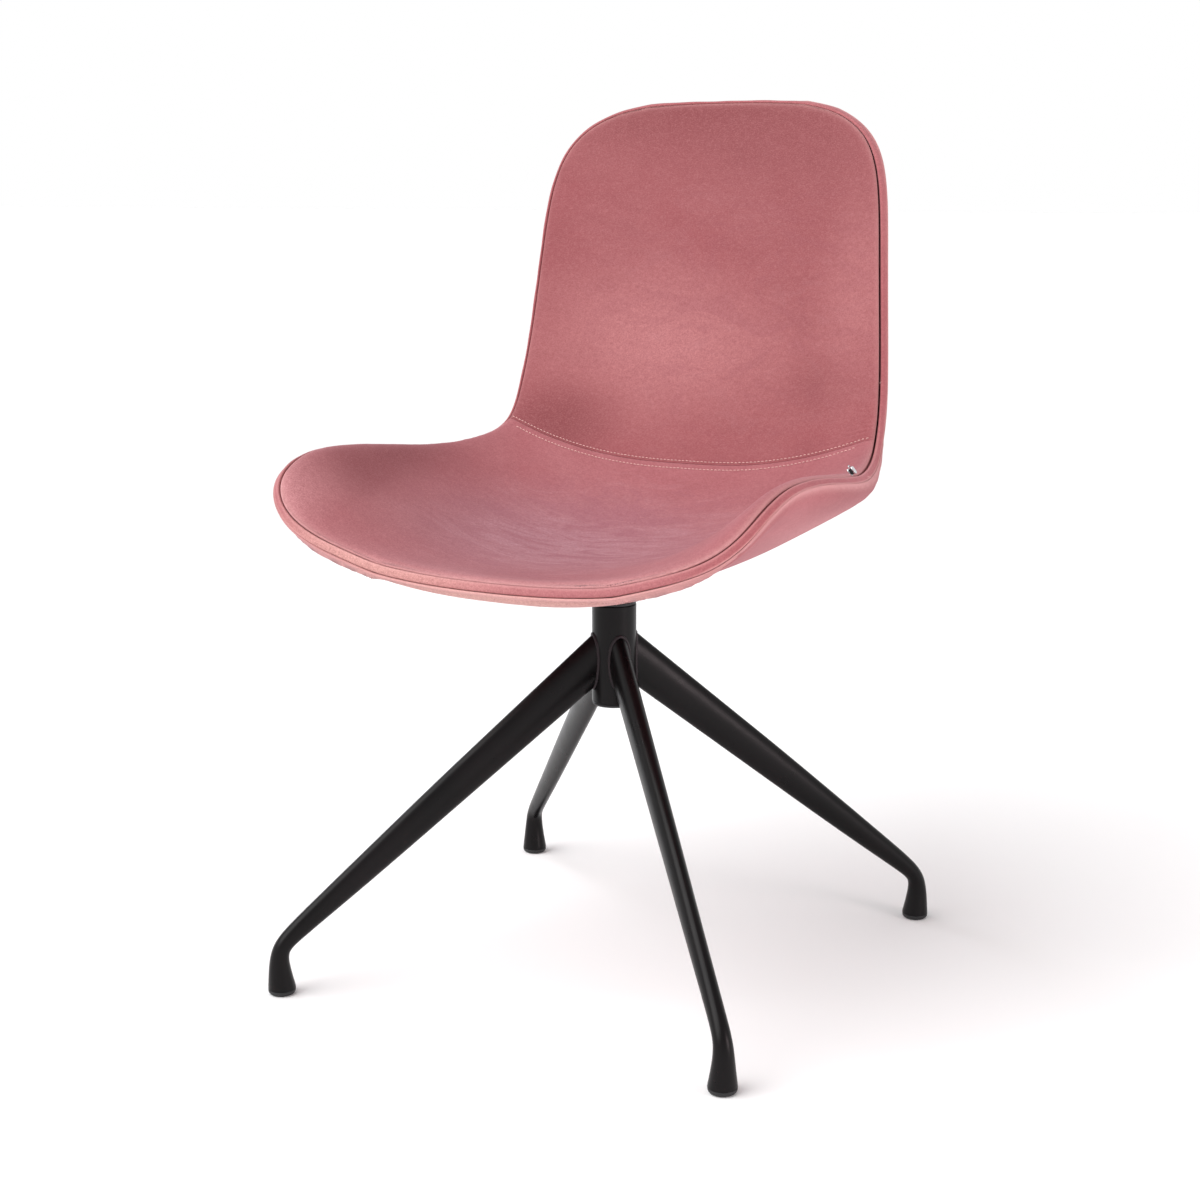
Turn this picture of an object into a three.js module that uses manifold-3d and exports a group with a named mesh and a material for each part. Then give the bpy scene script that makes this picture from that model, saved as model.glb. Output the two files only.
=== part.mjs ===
// Styling chair: an upholstered bucket shell that swivels on a pyramid base of four tapered legs.
// Millimetres, +Z up. The sitter faces -Y. The origin is on the floor, on the swivel axis.
import * as THREE from "three";
import { mergeVertices } from "three/addons/utils/BufferGeometryUtils.js";
import Module from "manifold-3d";

const wasm = await Module();
wasm.setup();

// ---- Driving dimensions -------------------------------------------------------------------

const GAP = 0.3; // between neighbouring pieces
const CLOTH_GAP = 0.4; // between upholstery layers

const HUB = { radius: 21.2, wall: 3.6, bottom: 257, top: 352, capPlug: 6 };
const ROUND = 32; // sides of the hub and everything that turns in it

const LEG = {
  azimuth: 46, // degrees from the side axis, for the front and the rear pair alike
  sides: 12,
  steps: 10,
  wall: 2,
  footTop: 5.3,
  // Centre line in the leg's own upright plane: distance from the swivel axis, height.
  path: [
    [8, 305],
    [120, 217],
    [235, 122],
    [288, 79],
    [315, 57],
    [328, 44],
    [329, 26],
    [327, 5.3],
  ],
  // Half the section's depth in that plane and half its width across it, at each path point.
  halfDepth: [19.5, 18, 13.4, 10.6, 9, 7.5, 10, 13],
  halfWidth: [10.2, 9, 8.2, 7.8, 7.8, 8.3, 10, 13],
};

const GLIDE = { radius: 12.8, height: 5, plugRadius: 7.2, plugTop: 12, reach: 327 };

const SPINDLE = { radius: 12.4, bore: 12.8, bottom: 265, collarRadius: 19, clipRadius: 11 };
const BUSH = { radius: 17.2, upperBottom: 322, lowerBottom: 274, lowerTop: 298 };
const THRUST = { flangeRadius: 20.8, flange: 2.6, washer: 2.2, steel: 2 };

const PLATE = { size: 100, corner: 14, bottom: 368, thickness: 4 };
const BOLT = { x: 38, y: [-38, 34], shank: 3, hole: 3.4, head: 6, headHeight: 3.6 };
const SPACER_RADIUS = 8;
const INSERT_RADIUS = 5.5;

// The sitter's side of the upholstery is a surface lofted from a middle line to the rim.
// Both run from the middle of the top edge to the middle of the front edge.
const MIDDLE = [
  [241, 823],
  [240, 809],
  [232, 783],
  [217, 743],
  [202, 678],
  [190, 598],
  [175, 517],
  [143, 463],
  [101, 436],
  [45, 413],
  [-18, 401],
  [-82, 399],
  [-138, 401],
  [-176, 403],
  [-201, 408],
  [-217, 412],
  [-225, 413],
];
const RIM = [
  [84, 234, 820],
  [128, 227, 812],
  [165, 214, 787],
  [181, 200, 742],
  [187, 188, 665],
  [194, 178, 585],
  [200, 164, 530],
  [201, 150, 502],
  [210, 114, 489],
  [225, 51, 485],
  [235, -15, 492],
  [239, -94, 502],
  [239, -157, 503],
  [236, -203, 487],
  [222, -221, 461],
  [182, -225, 438],
  [116, -225, 420],
];
const BUCKET_POWER = 2.4; // how late each cross-section turns up towards the rim
const LUMBAR_SEAM = 7 / 16; // where the seat and back panels meet, along the middle line
const UNDER_SEAM = 14 / 16; // where the under strip meets the rear cover
const SEAM_OPENING = 0.0003; // half a seam's opening, as a share of the middle line
const BACK_THINNING = 0.72; // thickness of the back over thickness of the seat

// Depths below the sitter's side, for the seat.
const LAYERS = {
  frontCover: [0, 1.2],
  pad: [1.8, 7.9],
  shell: [8.4, 17.2],
  rearCover: [17.6, 19.6],
};
const BAND = { gap: 1, out: 3, stackDepth: 19.6 };
const ZIP_AT = 9.5 / 16; // the slider's place along the rim
const ZIP = { length: 9, width: 7, thickness: 2.6, out: 4 };

// ---- Materials ----------------------------------------------------------------------------

function paint(color, roughness, metalness = 0) {
  return new THREE.MeshStandardMaterial({ color, roughness, metalness });
}

const velvet = () => paint(0xd3a2a2, 0.95);
const coatedSteel = () => paint(0x2b2929, 0.45, 0.3);
const blackPlastic = () => paint(0x1c1c1d, 0.6);
const nylon = () => paint(0xe6e3da, 0.5);
const steel = () => paint(0xa9abae, 0.35, 1);
const plywood = () => paint(0xc79f6d, 0.7);
const foam = () => paint(0xe9e0c4, 1);

// ---- Solid helpers ------------------------------------------------------------------------

function signedVolume(geometry) {
  const p = geometry.getAttribute("position");
  const index = geometry.index;
  const corner = [new THREE.Vector3(), new THREE.Vector3(), new THREE.Vector3()];
  let sum = 0;
  for (let i = 0; i < index.count; i += 3) {
    corner.forEach((c, k) => c.fromBufferAttribute(p, index.getX(i + k)));
    sum += corner[0].dot(corner[1].clone().cross(corner[2])) / 6;
  }
  return sum;
}

// Shares a geometry's corners and turns its faces outward.
function closed(geometry) {
  geometry.deleteAttribute("normal");
  geometry.deleteAttribute("uv");
  const merged = mergeVertices(geometry, 1e-3);
  if (signedVolume(merged) < 0) {
    const a = merged.index.array;
    for (let i = 0; i < a.length; i += 3) [a[i + 1], a[i + 2]] = [a[i + 2], a[i + 1]];
  }
  return merged;
}

function fromTriangles(points, indices) {
  const geometry = new THREE.BufferGeometry().setFromPoints(points);
  geometry.setIndex(indices);
  return closed(geometry);
}

function solid(geometry) {
  return new wasm.Manifold(
    new wasm.Mesh({
      numProp: 3,
      vertProperties: new Float32Array(geometry.getAttribute("position").array),
      triVerts: new Uint32Array(geometry.index.array),
    }),
  );
}

function cut(geometry, ...cutters) {
  const result = cutters.reduce((rest, c) => rest.subtract(solid(c)), solid(geometry)).getMesh();
  const out = new THREE.BufferGeometry();
  out.setAttribute("position", new THREE.BufferAttribute(result.vertProperties, 3));
  out.setIndex([...result.triVerts]);
  return out;
}

// A body turned about the vertical axis, from [radius, height] points that start and end on it
// or that close on themselves.
function turned(profile, sides = ROUND) {
  const points = profile.map(([r, z]) => new THREE.Vector2(r, z));
  return closed(new THREE.LatheGeometry(points, sides).rotateX(Math.PI / 2));
}

function tube(outer, inner, z0, z1, sides = ROUND) {
  return turned([[inner, z0], [outer, z0], [outer, z1], [inner, z1], [inner, z0]], sides);
}

function rod(radius, z0, z1, x = 0, y = 0, sides = 16) {
  return turned([[0, z0], [radius, z0], [radius, z1], [0, z1]], sides).translate(x, y, 0);
}

// A body skinned over rings of equal point counts, with flat ends.
function skinned(rings) {
  const n = rings[0].length;
  const points = rings.flat();
  const indices = [];
  for (let r = 0; r < rings.length - 1; r++)
    for (let i = 0; i < n; i++) {
      const a = r * n + i;
      const b = r * n + ((i + 1) % n);
      indices.push(a, b, b + n, a, b + n, a + n);
    }
  const end = (rings.length - 1) * n;
  for (let i = 1; i < n - 1; i++) {
    indices.push(0, i + 1, i);
    indices.push(end, end + i, end + i + 1);
  }
  return fromTriangles(points, indices);
}

const chair = new THREE.Group();
const base = new THREE.Group();
const seat = new THREE.Group();
chair.add(base, seat);

function add(group, name, geometry, material) {
  const mesh = new THREE.Mesh(geometry, material);
  mesh.name = name;
  group.add(mesh);
  return mesh;
}

// ---- Curves -------------------------------------------------------------------------------

function mirrorPast(near, next) {
  return near.map((value, k) => 2 * value - next[k]);
}

// A uniform cubic B-spline that starts and ends on its first and last points; t runs 0 to 1.
function spline(points, t) {
  const last = points.length - 1;
  const s = Math.min(Math.max(t, 0) * last, last - 1e-9);
  const i = Math.floor(s);
  const f = s - i;
  const before = i > 0 ? points[i - 1] : mirrorPast(points[0], points[1]);
  const after = i + 2 <= last ? points[i + 2] : mirrorPast(points[last], points[last - 1]);
  const weights = [
    (1 - f) ** 3,
    3 * f ** 3 - 6 * f ** 2 + 4,
    -3 * f ** 3 + 3 * f ** 2 + 3 * f + 1,
    f ** 3,
  ];
  const near = [before, points[i], points[i + 1], after];
  return points[i].map((_, k) => near.reduce((sum, p, j) => sum + weights[j] * p[k], 0) / 6);
}

function steps(from, to, count) {
  return Array.from({ length: count + 1 }, (_, i) => from + ((to - from) * i) / count);
}

// ---- Upholstery surface -------------------------------------------------------------------

// v runs 0 to 1 from the top edge to the front edge, u runs -1 to 1 across the chair.
function surfacePoint(v, u) {
  const [middleY, middleZ] = spline(MIDDLE, v);
  const [rimX, rimY, rimZ] = spline(RIM, v);
  const lift = Math.abs(u) ** BUCKET_POWER;
  return new THREE.Vector3(
    u * rimX,
    THREE.MathUtils.lerp(middleY, rimY, lift),
    THREE.MathUtils.lerp(middleZ, rimZ, lift),
  );
}

// The direction towards the sitter. It is taken a little inside the edges, because the
// rows and columns of the surface run alongside each other at its four corners.
function surfaceNormal(v, u) {
  const step = 0.01;
  const vIn = THREE.MathUtils.clamp(v, 0.05, 0.95);
  const uIn = u * 0.9;
  const along = surfacePoint(vIn + step, uIn).sub(surfacePoint(vIn - step, uIn));
  const across = surfacePoint(vIn, uIn + step).sub(surfacePoint(vIn, uIn - step));
  return along.cross(across).normalize();
}

function thickness(v) {
  return THREE.MathUtils.lerp(BACK_THINNING, 1, THREE.MathUtils.smoothstep(v, 0.3, 0.6));
}

function layerPoint(v, u, depth) {
  return surfacePoint(v, u).addScaledVector(surfaceNormal(v, u), -depth * thickness(v));
}

const COLUMNS = steps(-1, 1, 10).map((s) => Math.sign(s) * (1 - (1 - Math.abs(s)) ** 1.3));
const BACK_ROWS = steps(0, LUMBAR_SEAM, 11);
const SEAT_ROWS = steps(LUMBAR_SEAM, UNDER_SEAM, 10);
const FRONT_ROWS = steps(UNDER_SEAM, 1, 4);

function joined(...rows) {
  return [...new Set(rows.flat())];
}

// Opens a panel's first or last row by half a seam where it meets another panel.
function openedAt(rows, { first = false, last = false }) {
  const out = [...rows];
  if (first) out[0] += SEAM_OPENING;
  if (last) out[out.length - 1] -= SEAM_OPENING;
  return out;
}

// A closed slab between two depths, over the given rows.
function slab(rows, [depthFront, depthBack]) {
  const wide = COLUMNS.length;
  const count = rows.length * wide;
  const points = [depthFront, depthBack].flatMap((depth) =>
    rows.flatMap((v) => COLUMNS.map((u) => layerPoint(v, u, depth))),
  );
  const indices = [];
  for (let r = 0; r < rows.length - 1; r++)
    for (let c = 0; c < wide - 1; c++) {
      const a = r * wide + c;
      indices.push(a, a + 1, a + wide + 1, a, a + wide + 1, a + wide);
      const b = a + count;
      indices.push(b, b + wide + 1, b + 1, b, b + wide, b + wide + 1);
    }
  const loop = edgeLoop(rows.length, wide);
  loop.forEach((a, k) => {
    const b = loop[(k + 1) % loop.length];
    indices.push(b, a, a + count, b, a + count, b + count);
  });
  return fromTriangles(points, indices);
}

// The grid's outer points in order, clockwise from its first corner.
function edgeLoop(rowCount, wide) {
  const top = steps(0, wide - 1, wide - 1);
  const sideRows = steps(1, rowCount - 1, rowCount - 2);
  const right = sideRows.map((r) => r * wide + wide - 1);
  const bottom = top.slice(0, -1).reverse().map((c) => (rowCount - 1) * wide + c);
  const left = sideRows.slice(0, -1).reverse().map((r) => r * wide);
  return [...top, ...right, ...bottom, ...left];
}

const ALL_ROWS = joined(BACK_ROWS, SEAT_ROWS, FRONT_ROWS);

// The rim as places (v, u) with the direction away from the upholstery at each.
function rimStations() {
  const wide = COLUMNS.length;
  const places = edgeLoop(ALL_ROWS.length, wide).map((i) => ({
    v: ALL_ROWS[Math.floor(i / wide)],
    u: COLUMNS[i % wide],
  }));
  return places.map((place, k) => {
    const before = places.at(k - 1);
    const after = places[(k + 1) % places.length];
    const run = surfacePoint(after.v, after.u).sub(surfacePoint(before.v, before.u)).normalize();
    const normal = surfaceNormal(place.v, place.u);
    return { ...place, run, normal, out: run.clone().cross(normal).normalize().negate() };
  });
}

function stationPoint({ v, u, out }, outward, depth) {
  return layerPoint(v, u, depth).addScaledVector(out, outward);
}

// ---- Base: hub, legs and glides -----------------------------------------------------------

function hubTube() {
  return tube(HUB.radius, HUB.radius - HUB.wall, HUB.bottom, HUB.top);
}

function hubEndCap() {
  const plug = HUB.radius - HUB.wall - 0.4;
  const lip = HUB.bottom - GAP;
  const top = HUB.bottom + HUB.capPlug;
  const rounding = [[19.6, lip - 3], [20.8, lip - 1.6], [20.8, lip]];
  return turned([[0, lip - 3], ...rounding, [plug, lip], [plug, top], [0, top]]);
}

// Rings of the leg's section along its path, shrunk by an inset for the inside of the tube.
function legRings(inset) {
  const sections = LEG.path.map((p, i) => [...p, LEG.halfDepth[i], LEG.halfWidth[i]]);
  return steps(0, 1, LEG.steps).map((t) => {
    const [reach, height, depth, width] = spline(sections, t);
    const before = spline(sections, t - 0.01);
    const after = spline(sections, t + 0.01);
    const slope = Math.atan2(after[1] - before[1], after[0] - before[0]);
    const tilt = t > 0.99 ? -Math.PI / 2 : slope;
    return steps(0, 2 * Math.PI, LEG.sides).slice(0, -1).map((angle) => {
      const up = Math.cos(angle) * (depth - inset);
      const side = Math.sin(angle) * (width - inset);
      return new THREE.Vector3(reach - Math.sin(tilt) * up, side, height + Math.cos(tilt) * up);
    });
  });
}

// The hollow runs out past the foot, so that the tube is open there for the glide's plug.
function legTube() {
  const inside = legRings(LEG.wall);
  const mouth = inside.at(-1).map((p) => p.clone().setZ(p.z - 1));
  const saddle = rod(HUB.radius + GAP, 200, 400, 0, 0, ROUND);
  return cut(skinned(legRings(0)), skinned([...inside, mouth]), saddle);
}

function glide() {
  const { radius, height, plugRadius, plugTop } = GLIDE;
  const side = [[radius - 4, 0], [radius - 1.4, 1.2], [radius, 3.6], [radius, height]];
  return turned([[0, 0], ...side, [plugRadius, height], [plugRadius, plugTop], [0, plugTop]], 16);
}

function buildBase() {
  add(base, "hub_tube", hubTube(), coatedSteel());
  add(base, "hub_end_cap", hubEndCap(), blackPlastic());
  const azimuths = {
    front_left: -LEG.azimuth,
    rear_left: LEG.azimuth,
    rear_right: 180 - LEG.azimuth,
    front_right: 180 + LEG.azimuth,
  };
  Object.entries(azimuths).forEach(([corner, azimuth]) => {
    const arm = new THREE.Group();
    arm.rotation.z = THREE.MathUtils.degToRad(azimuth);
    base.add(arm);
    add(arm, `leg_${corner}`, legTube(), coatedSteel());
    add(arm, `glide_${corner}`, glide(), blackPlastic()).position.x = GLIDE.reach;
  });
}

// ---- Swivel: bushes, washers and spindle --------------------------------------------------

const FLANGE_TOP = HUB.top + GAP + THRUST.flange;
const WASHER_TOP = FLANGE_TOP + GAP + THRUST.washer;

function upperBush() {
  const { bore } = SPINDLE;
  const under = HUB.top + GAP;
  return turned([
    [bore, BUSH.upperBottom],
    [BUSH.radius, BUSH.upperBottom],
    [BUSH.radius, under],
    [THRUST.flangeRadius, under],
    [THRUST.flangeRadius, FLANGE_TOP],
    [bore, FLANGE_TOP],
    [bore, BUSH.upperBottom],
  ]);
}

function spindle() {
  const { radius, bottom, collarRadius, clipRadius } = SPINDLE;
  const collarBottom = WASHER_TOP + 2 * GAP + THRUST.steel;
  const collarTop = PLATE.bottom - GAP;
  const top = PLATE.bottom + PLATE.thickness - GAP;
  return turned([
    [0, bottom],
    [radius - 1, bottom],
    [radius, bottom + 1],
    [radius, bottom + 4],
    [clipRadius, bottom + 4],
    [clipRadius, bottom + 6],
    [radius, bottom + 6],
    [radius, collarBottom],
    [collarRadius, collarBottom],
    [collarRadius, collarTop],
    [radius, collarTop],
    [radius, top],
    [0, top],
  ]);
}

function retainingClip() {
  const bottom = SPINDLE.bottom + 4.3;
  const ring = tube(15, SPINDLE.clipRadius + 0.4, bottom, bottom + 1.4);
  const mouth = closed(new THREE.BoxGeometry(20, 9, 4).translate(14, 0, bottom));
  return cut(ring, mouth);
}

function buildSwivel() {
  add(base, "upper_bush", upperBush(), blackPlastic());
  add(base, "lower_bush", tube(BUSH.radius, SPINDLE.bore, BUSH.lowerBottom, BUSH.lowerTop), nylon());
  const washerBottom = FLANGE_TOP + GAP;
  add(base, "thrust_washer", tube(20, SPINDLE.bore, washerBottom, WASHER_TOP), nylon());
  const steelBottom = WASHER_TOP + GAP;
  const wearWasher = tube(20, SPINDLE.bore, steelBottom, steelBottom + THRUST.steel);
  add(seat, "wear_washer", wearWasher, steel());
  add(seat, "spindle", spindle(), steel());
  add(seat, "retaining_clip", retainingClip(), steel());
  const washer = tube(16.6, SPINDLE.bore, BUSH.lowerBottom - 2.1, BUSH.lowerBottom - GAP);
  add(seat, "retaining_washer", washer, steel());
}

// ---- Seat mounting ------------------------------------------------------------------------

const boltPlaces = BOLT.y.flatMap((y) => [-1, 1].map((side) => ({ x: side * BOLT.x, y })));

// Height of an upholstery layer above a place on the floor, found by halving along v.
function layerHeight(x, y, depth) {
  let rear = LUMBAR_SEAM;
  let front = 1;
  let point;
  for (let i = 0; i < 40; i++) {
    const v = (rear + front) / 2;
    point = layerPoint(v, x / spline(RIM, v)[0], depth);
    if (point.y > y) rear = v;
    else front = v;
  }
  return point.z;
}

function mountingPlate() {
  const half = PLATE.size / 2;
  const centreY = (BOLT.y[0] + BOLT.y[1]) / 2;
  const { corner } = PLATE;
  const outline = new THREE.Shape();
  [[1, 1], [-1, 1], [-1, -1], [1, -1]].forEach(([sx, sy], i) => {
    const x = sx * (half - corner);
    const y = centreY + sy * (half - corner);
    outline.absarc(x, y, corner, (i * Math.PI) / 2, ((i + 1) * Math.PI) / 2, false);
  });
  const holes = boltPlaces.map(({ x, y }) => new THREE.Path().absarc(x, y, BOLT.hole, 0, 2 * Math.PI));
  holes.push(new THREE.Path().absarc(0, 0, SPINDLE.bore, 0, 2 * Math.PI));
  outline.holes = holes;
  const options = { depth: PLATE.thickness, bevelEnabled: false, curveSegments: 8 };
  return closed(new THREE.ExtrudeGeometry(outline, options).translate(0, 0, PLATE.bottom));
}

function bolt(top) {
  const seatFace = PLATE.bottom - GAP;
  const bottom = seatFace - BOLT.headHeight;
  const { head, shank } = BOLT;
  const profile = [
    [0, bottom],
    [head - 1.6, bottom],
    [head, bottom + 1.8],
    [head, seatFace],
    [shank, seatFace],
    [shank, top],
    [0, top],
  ];
  return cut(turned(profile, 16), rod(2.3, bottom - 1, bottom + 2, 0, 0, 6));
}

// A spacer bush reaches from the plate to the shell's curved underside.
function spacer({ x, y }) {
  const bottom = PLATE.bottom + PLATE.thickness + GAP;
  const middle = (LAYERS.shell[0] + LAYERS.shell[1]) / 2;
  const block = rod(SPACER_RADIUS, bottom, layerHeight(x, y, middle), x, y);
  const underside = slab(ALL_ROWS, [LAYERS.shell[0], LAYERS.shell[1] + CLOTH_GAP]);
  return cut(block, underside, rod(BOLT.hole, bottom - 1, 450, x, y, 12));
}

function buildMounting() {
  add(seat, "mounting_plate", mountingPlate(), coatedSteel());
  boltPlaces.forEach((place, i) => {
    const { x, y } = place;
    const slopeAllowance = 2;
    const insertBottom = layerHeight(x, y, LAYERS.shell[1]) + slopeAllowance;
    const insertTop = layerHeight(x, y, LAYERS.shell[0]) - slopeAllowance;
    const insert = tube(INSERT_RADIUS, BOLT.hole, insertBottom, insertTop, 12).translate(x, y, 0);
    add(seat, `plate_bolt_${i + 1}`, bolt(insertTop - 0.5), steel()).position.set(x, y, 0);
    add(seat, `spacer_bush_${i + 1}`, spacer(place), blackPlastic());
    add(seat, `threaded_insert_${i + 1}`, insert, steel());
  });
}

// ---- Upholstered shell --------------------------------------------------------------------

function drilled(geometry, radius) {
  return cut(geometry, ...boltPlaces.map(({ x, y }) => rod(radius, 350, 450, x, y)));
}

function edgeBand() {
  const { gap, out, stackDepth } = BAND;
  const section = [
    [gap, 0.3],
    [out * 0.6, 0.8],
    [out, stackDepth * 0.3],
    [out, stackDepth * 0.7],
    [out * 0.6, stackDepth - 0.5],
    [gap, stackDepth],
  ];
  const rings = rimStations().map((s) => section.map(([outward, depth]) => stationPoint(s, outward, depth)));
  const n = section.length;
  const indices = [];
  rings.forEach((_, r) => {
    const next = (r + 1) % rings.length;
    for (let i = 0; i < n; i++) {
      const j = (i + 1) % n;
      indices.push(r * n + i, next * n + i, next * n + j, r * n + i, next * n + j, r * n + j);
    }
  });
  return fromTriangles(rings.flat(), indices);
}

function zipSlider() {
  const { length, width } = ZIP;
  const outline = new THREE.Shape();
  outline.moveTo(-length / 2, -width * 0.3);
  outline.lineTo(length * 0.1, -width / 2);
  outline.absarc(length * 0.25, 0, width / 2, -Math.PI / 2, Math.PI / 2, false);
  outline.lineTo(-length / 2, width * 0.3);
  const throat = new THREE.Path().absarc(length * 0.22, 0, width * 0.2, 0, 2 * Math.PI);
  outline.holes.push(throat);
  const options = { depth: ZIP.thickness, bevelEnabled: false, curveSegments: 6 };
  return closed(new THREE.ExtrudeGeometry(outline, options));
}

function placeZipSlider(mesh) {
  const run = surfacePoint(ZIP_AT + 0.01, 1).sub(surfacePoint(ZIP_AT - 0.01, 1)).normalize();
  const normal = surfaceNormal(ZIP_AT, 1);
  const out = normal.clone().cross(run).normalize();
  const across = out.clone().cross(run).normalize();
  const place = stationPoint({ v: ZIP_AT, u: 1, out }, ZIP.out, 2);
  mesh.applyMatrix4(new THREE.Matrix4().makeBasis(run, across, out).setPosition(place));
}

function buildUpholstery() {
  const backRows = openedAt(BACK_ROWS, { last: true });
  const seatRows = openedAt(joined(SEAT_ROWS, FRONT_ROWS), { first: true });
  const rearRows = openedAt(joined(BACK_ROWS, SEAT_ROWS), { last: true });
  const underRows = openedAt(FRONT_ROWS, { first: true });
  add(seat, "back_front_cover", slab(backRows, LAYERS.frontCover), velvet());
  add(seat, "seat_front_cover", slab(seatRows, LAYERS.frontCover), velvet());
  add(seat, "back_pad", slab(backRows, LAYERS.pad), foam());
  add(seat, "seat_pad", slab(seatRows, LAYERS.pad), foam());
  add(seat, "moulded_shell", drilled(slab(ALL_ROWS, LAYERS.shell), INSERT_RADIUS + GAP), plywood());
  add(seat, "rear_cover", drilled(slab(rearRows, LAYERS.rearCover), SPACER_RADIUS + GAP), velvet());
  add(seat, "front_under_strip", slab(underRows, LAYERS.rearCover), velvet());
  add(seat, "edge_band", edgeBand(), velvet());
  placeZipSlider(add(seat, "zip_slider", zipSlider(), steel()));
}

buildBase();
buildSwivel();
buildMounting();
buildUpholstery();

export default chair;
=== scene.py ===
"""Looks of the styling chair: velvet upholstery with its seams and stitches, the powder-coated
base, and a plain studio. Metres, +Z up, the sitter faces -Y."""

import math

import bmesh
import bpy
import numpy as np
from mathutils import Matrix, Vector, kdtree, noise


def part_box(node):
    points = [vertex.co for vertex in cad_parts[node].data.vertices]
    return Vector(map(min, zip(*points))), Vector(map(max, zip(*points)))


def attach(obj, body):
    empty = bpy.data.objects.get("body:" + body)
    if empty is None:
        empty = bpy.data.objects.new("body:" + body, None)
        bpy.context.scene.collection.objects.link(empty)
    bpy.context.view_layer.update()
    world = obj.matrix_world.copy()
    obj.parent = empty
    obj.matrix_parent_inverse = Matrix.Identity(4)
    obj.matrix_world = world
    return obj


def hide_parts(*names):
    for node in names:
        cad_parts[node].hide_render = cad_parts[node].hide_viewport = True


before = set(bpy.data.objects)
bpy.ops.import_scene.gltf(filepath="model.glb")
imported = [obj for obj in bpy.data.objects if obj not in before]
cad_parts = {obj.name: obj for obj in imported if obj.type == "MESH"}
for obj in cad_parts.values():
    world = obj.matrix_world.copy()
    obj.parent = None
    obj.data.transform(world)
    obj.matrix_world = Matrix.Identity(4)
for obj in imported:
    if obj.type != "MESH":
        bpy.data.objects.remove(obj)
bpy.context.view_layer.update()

MM = 0.001

# ---- Driving dimensions, shared with the CAD part -------------------------------------------

# The sitter's side is lofted from a middle line (y, z) to the rim (x, y, z), in millimetres here.
# Both run from the middle of the top edge to the middle of the front edge.
MIDDLE = MM * np.array([
    [241, 823], [240, 809], [232, 783], [217, 743], [202, 678], [190, 598], [175, 517], [143, 463],
    [101, 436], [45, 413], [-18, 401], [-82, 399], [-138, 401], [-176, 403], [-201, 408],
    [-217, 412], [-225, 413],
])
RIM = MM * np.array([
    [84, 234, 820], [128, 227, 812], [165, 214, 787], [181, 200, 742], [187, 188, 665],
    [194, 178, 585], [200, 164, 530], [201, 150, 502], [210, 114, 489], [225, 51, 485],
    [235, -15, 492], [239, -94, 502], [239, -157, 503], [236, -203, 487], [222, -221, 461],
    [182, -225, 438], [116, -225, 420],
])
BUCKET_POWER = 2.4
LUMBAR_SEAM = 7 / 16
UNDER_SEAM = 14 / 16
SEAT_THICKNESS = 20 * MM
BACK_THINNING = 0.72
THICKENS_AT = (0.3, 0.6)

# Front panels. CROWN_AT is how far the padding crowns over the rim seam, in millimetres, and
# PAD_INSET_AT the share of the width that it covers, at places from the top edge (0) to the
# front edge (1). PAD_DEPTH is a share of the shell's thickness. Each sink or pucker is a height,
# and its reach is the distance over which it dies away from its seam. The dip at the cross seam
# is a share of the crown there, which counts up to CROSS_DIP_CROWN.
CROWN_AT = [(0, 1.6), (0.36, 2.2), (0.5, 5.5), (0.62, 7.5), (0.78, 6), (0.9, 3), (1, 1.6)]
CROWN_REACH = 6 * MM
PAD_INSET_AT = [(0, 0.99), (0.36, 0.99), (0.46, 0.995), (1, 0.996)]
PAD_DEPTH = 0.34
RIM_SINK = 2.2 * MM
RIM_SINK_REACH = 1.7 * MM
CROSS_DIP_SHARE = 0.4
CROSS_DIP_CROWN = 3 * MM
CROSS_DIP_REACH = 6 * MM
SEAM_OPENING = 0.0003
SEAM_SINK = 0.6 * MM
SEAM_SINK_REACH = 1.3 * MM
SEAM_PUCKER = 0.2 * MM
SEAM_PUCKER_REACH = 11 * MM
SEAM_END_PUCKER = 0.45 * MM
RIM_PUCKER = 0.5 * MM
FRONT_UNEVENNESS = 1.2 * MM

# Stitches beside the cross seam. STITCH_ENDS is how far across each row runs, of the half width.
STITCH_ROWS = {"back": 2.8 * MM, "seat": 7.4 * MM}
STITCH_ENDS = {"back": 0.985, "seat": 0.93}
STITCH_PITCH = 4.1 * MM
STITCH_LENGTH = 3.0 * MM
STITCH_RADIUS = 0.5 * MM
STITCH_DIMPLE = 0.45 * MM
STITCH_DIMPLE_REACH = 1.0 * MM

# The edge band's section as (out of the rim, depth) in millimetres: raised along the back,
# flared at its rear seam round the sides, and tucked under along the front edge.
BAND_OUTLINES = {
    "raised": [
        [-1.8, 6.8], [-1.0, 6.0], [-0.5, 4.8], [0.1, 3.4], [1.3, 2.4], [2.8, 3.4], [3.5, 5.8],
        [3.4, 8.8], [3.6, 10.8], [3.7, 11.5], [2.6, 11.8], [0.6, 11.7], [-1.6, 11.2],
    ],
    "flared": [
        [-1.6, 6.8], [-0.4, 5.9], [0.2, 4.9], [1.0, 4.3], [2.1, 4.4], [2.9, 5.5], [3.0, 7.6],
        [2.8, 9.8], [3.3, 10.8], [3.5, 11.5], [2.6, 11.8], [0.6, 11.7], [-1.6, 11.2],
    ],
    "tucked": [
        [-1.6, 6.4], [0.0, 5.6], [0.4, 4.2], [1.0, 3.3], [2.2, 3.2], [3.1, 4.6], [3.4, 7.0],
        [3.2, 9.2], [2.6, 10.6], [1.6, 11.2], [0.8, 11.2], [0.0, 11.2], [-1.6, 11.0],
    ],
}
# It changes from raised to flared, and from flared to tucked, between these places.
BAND_RAISED_TO = (0.36, 0.46)
BAND_TUCKED_FROM = (0.9, 0.97)
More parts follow.
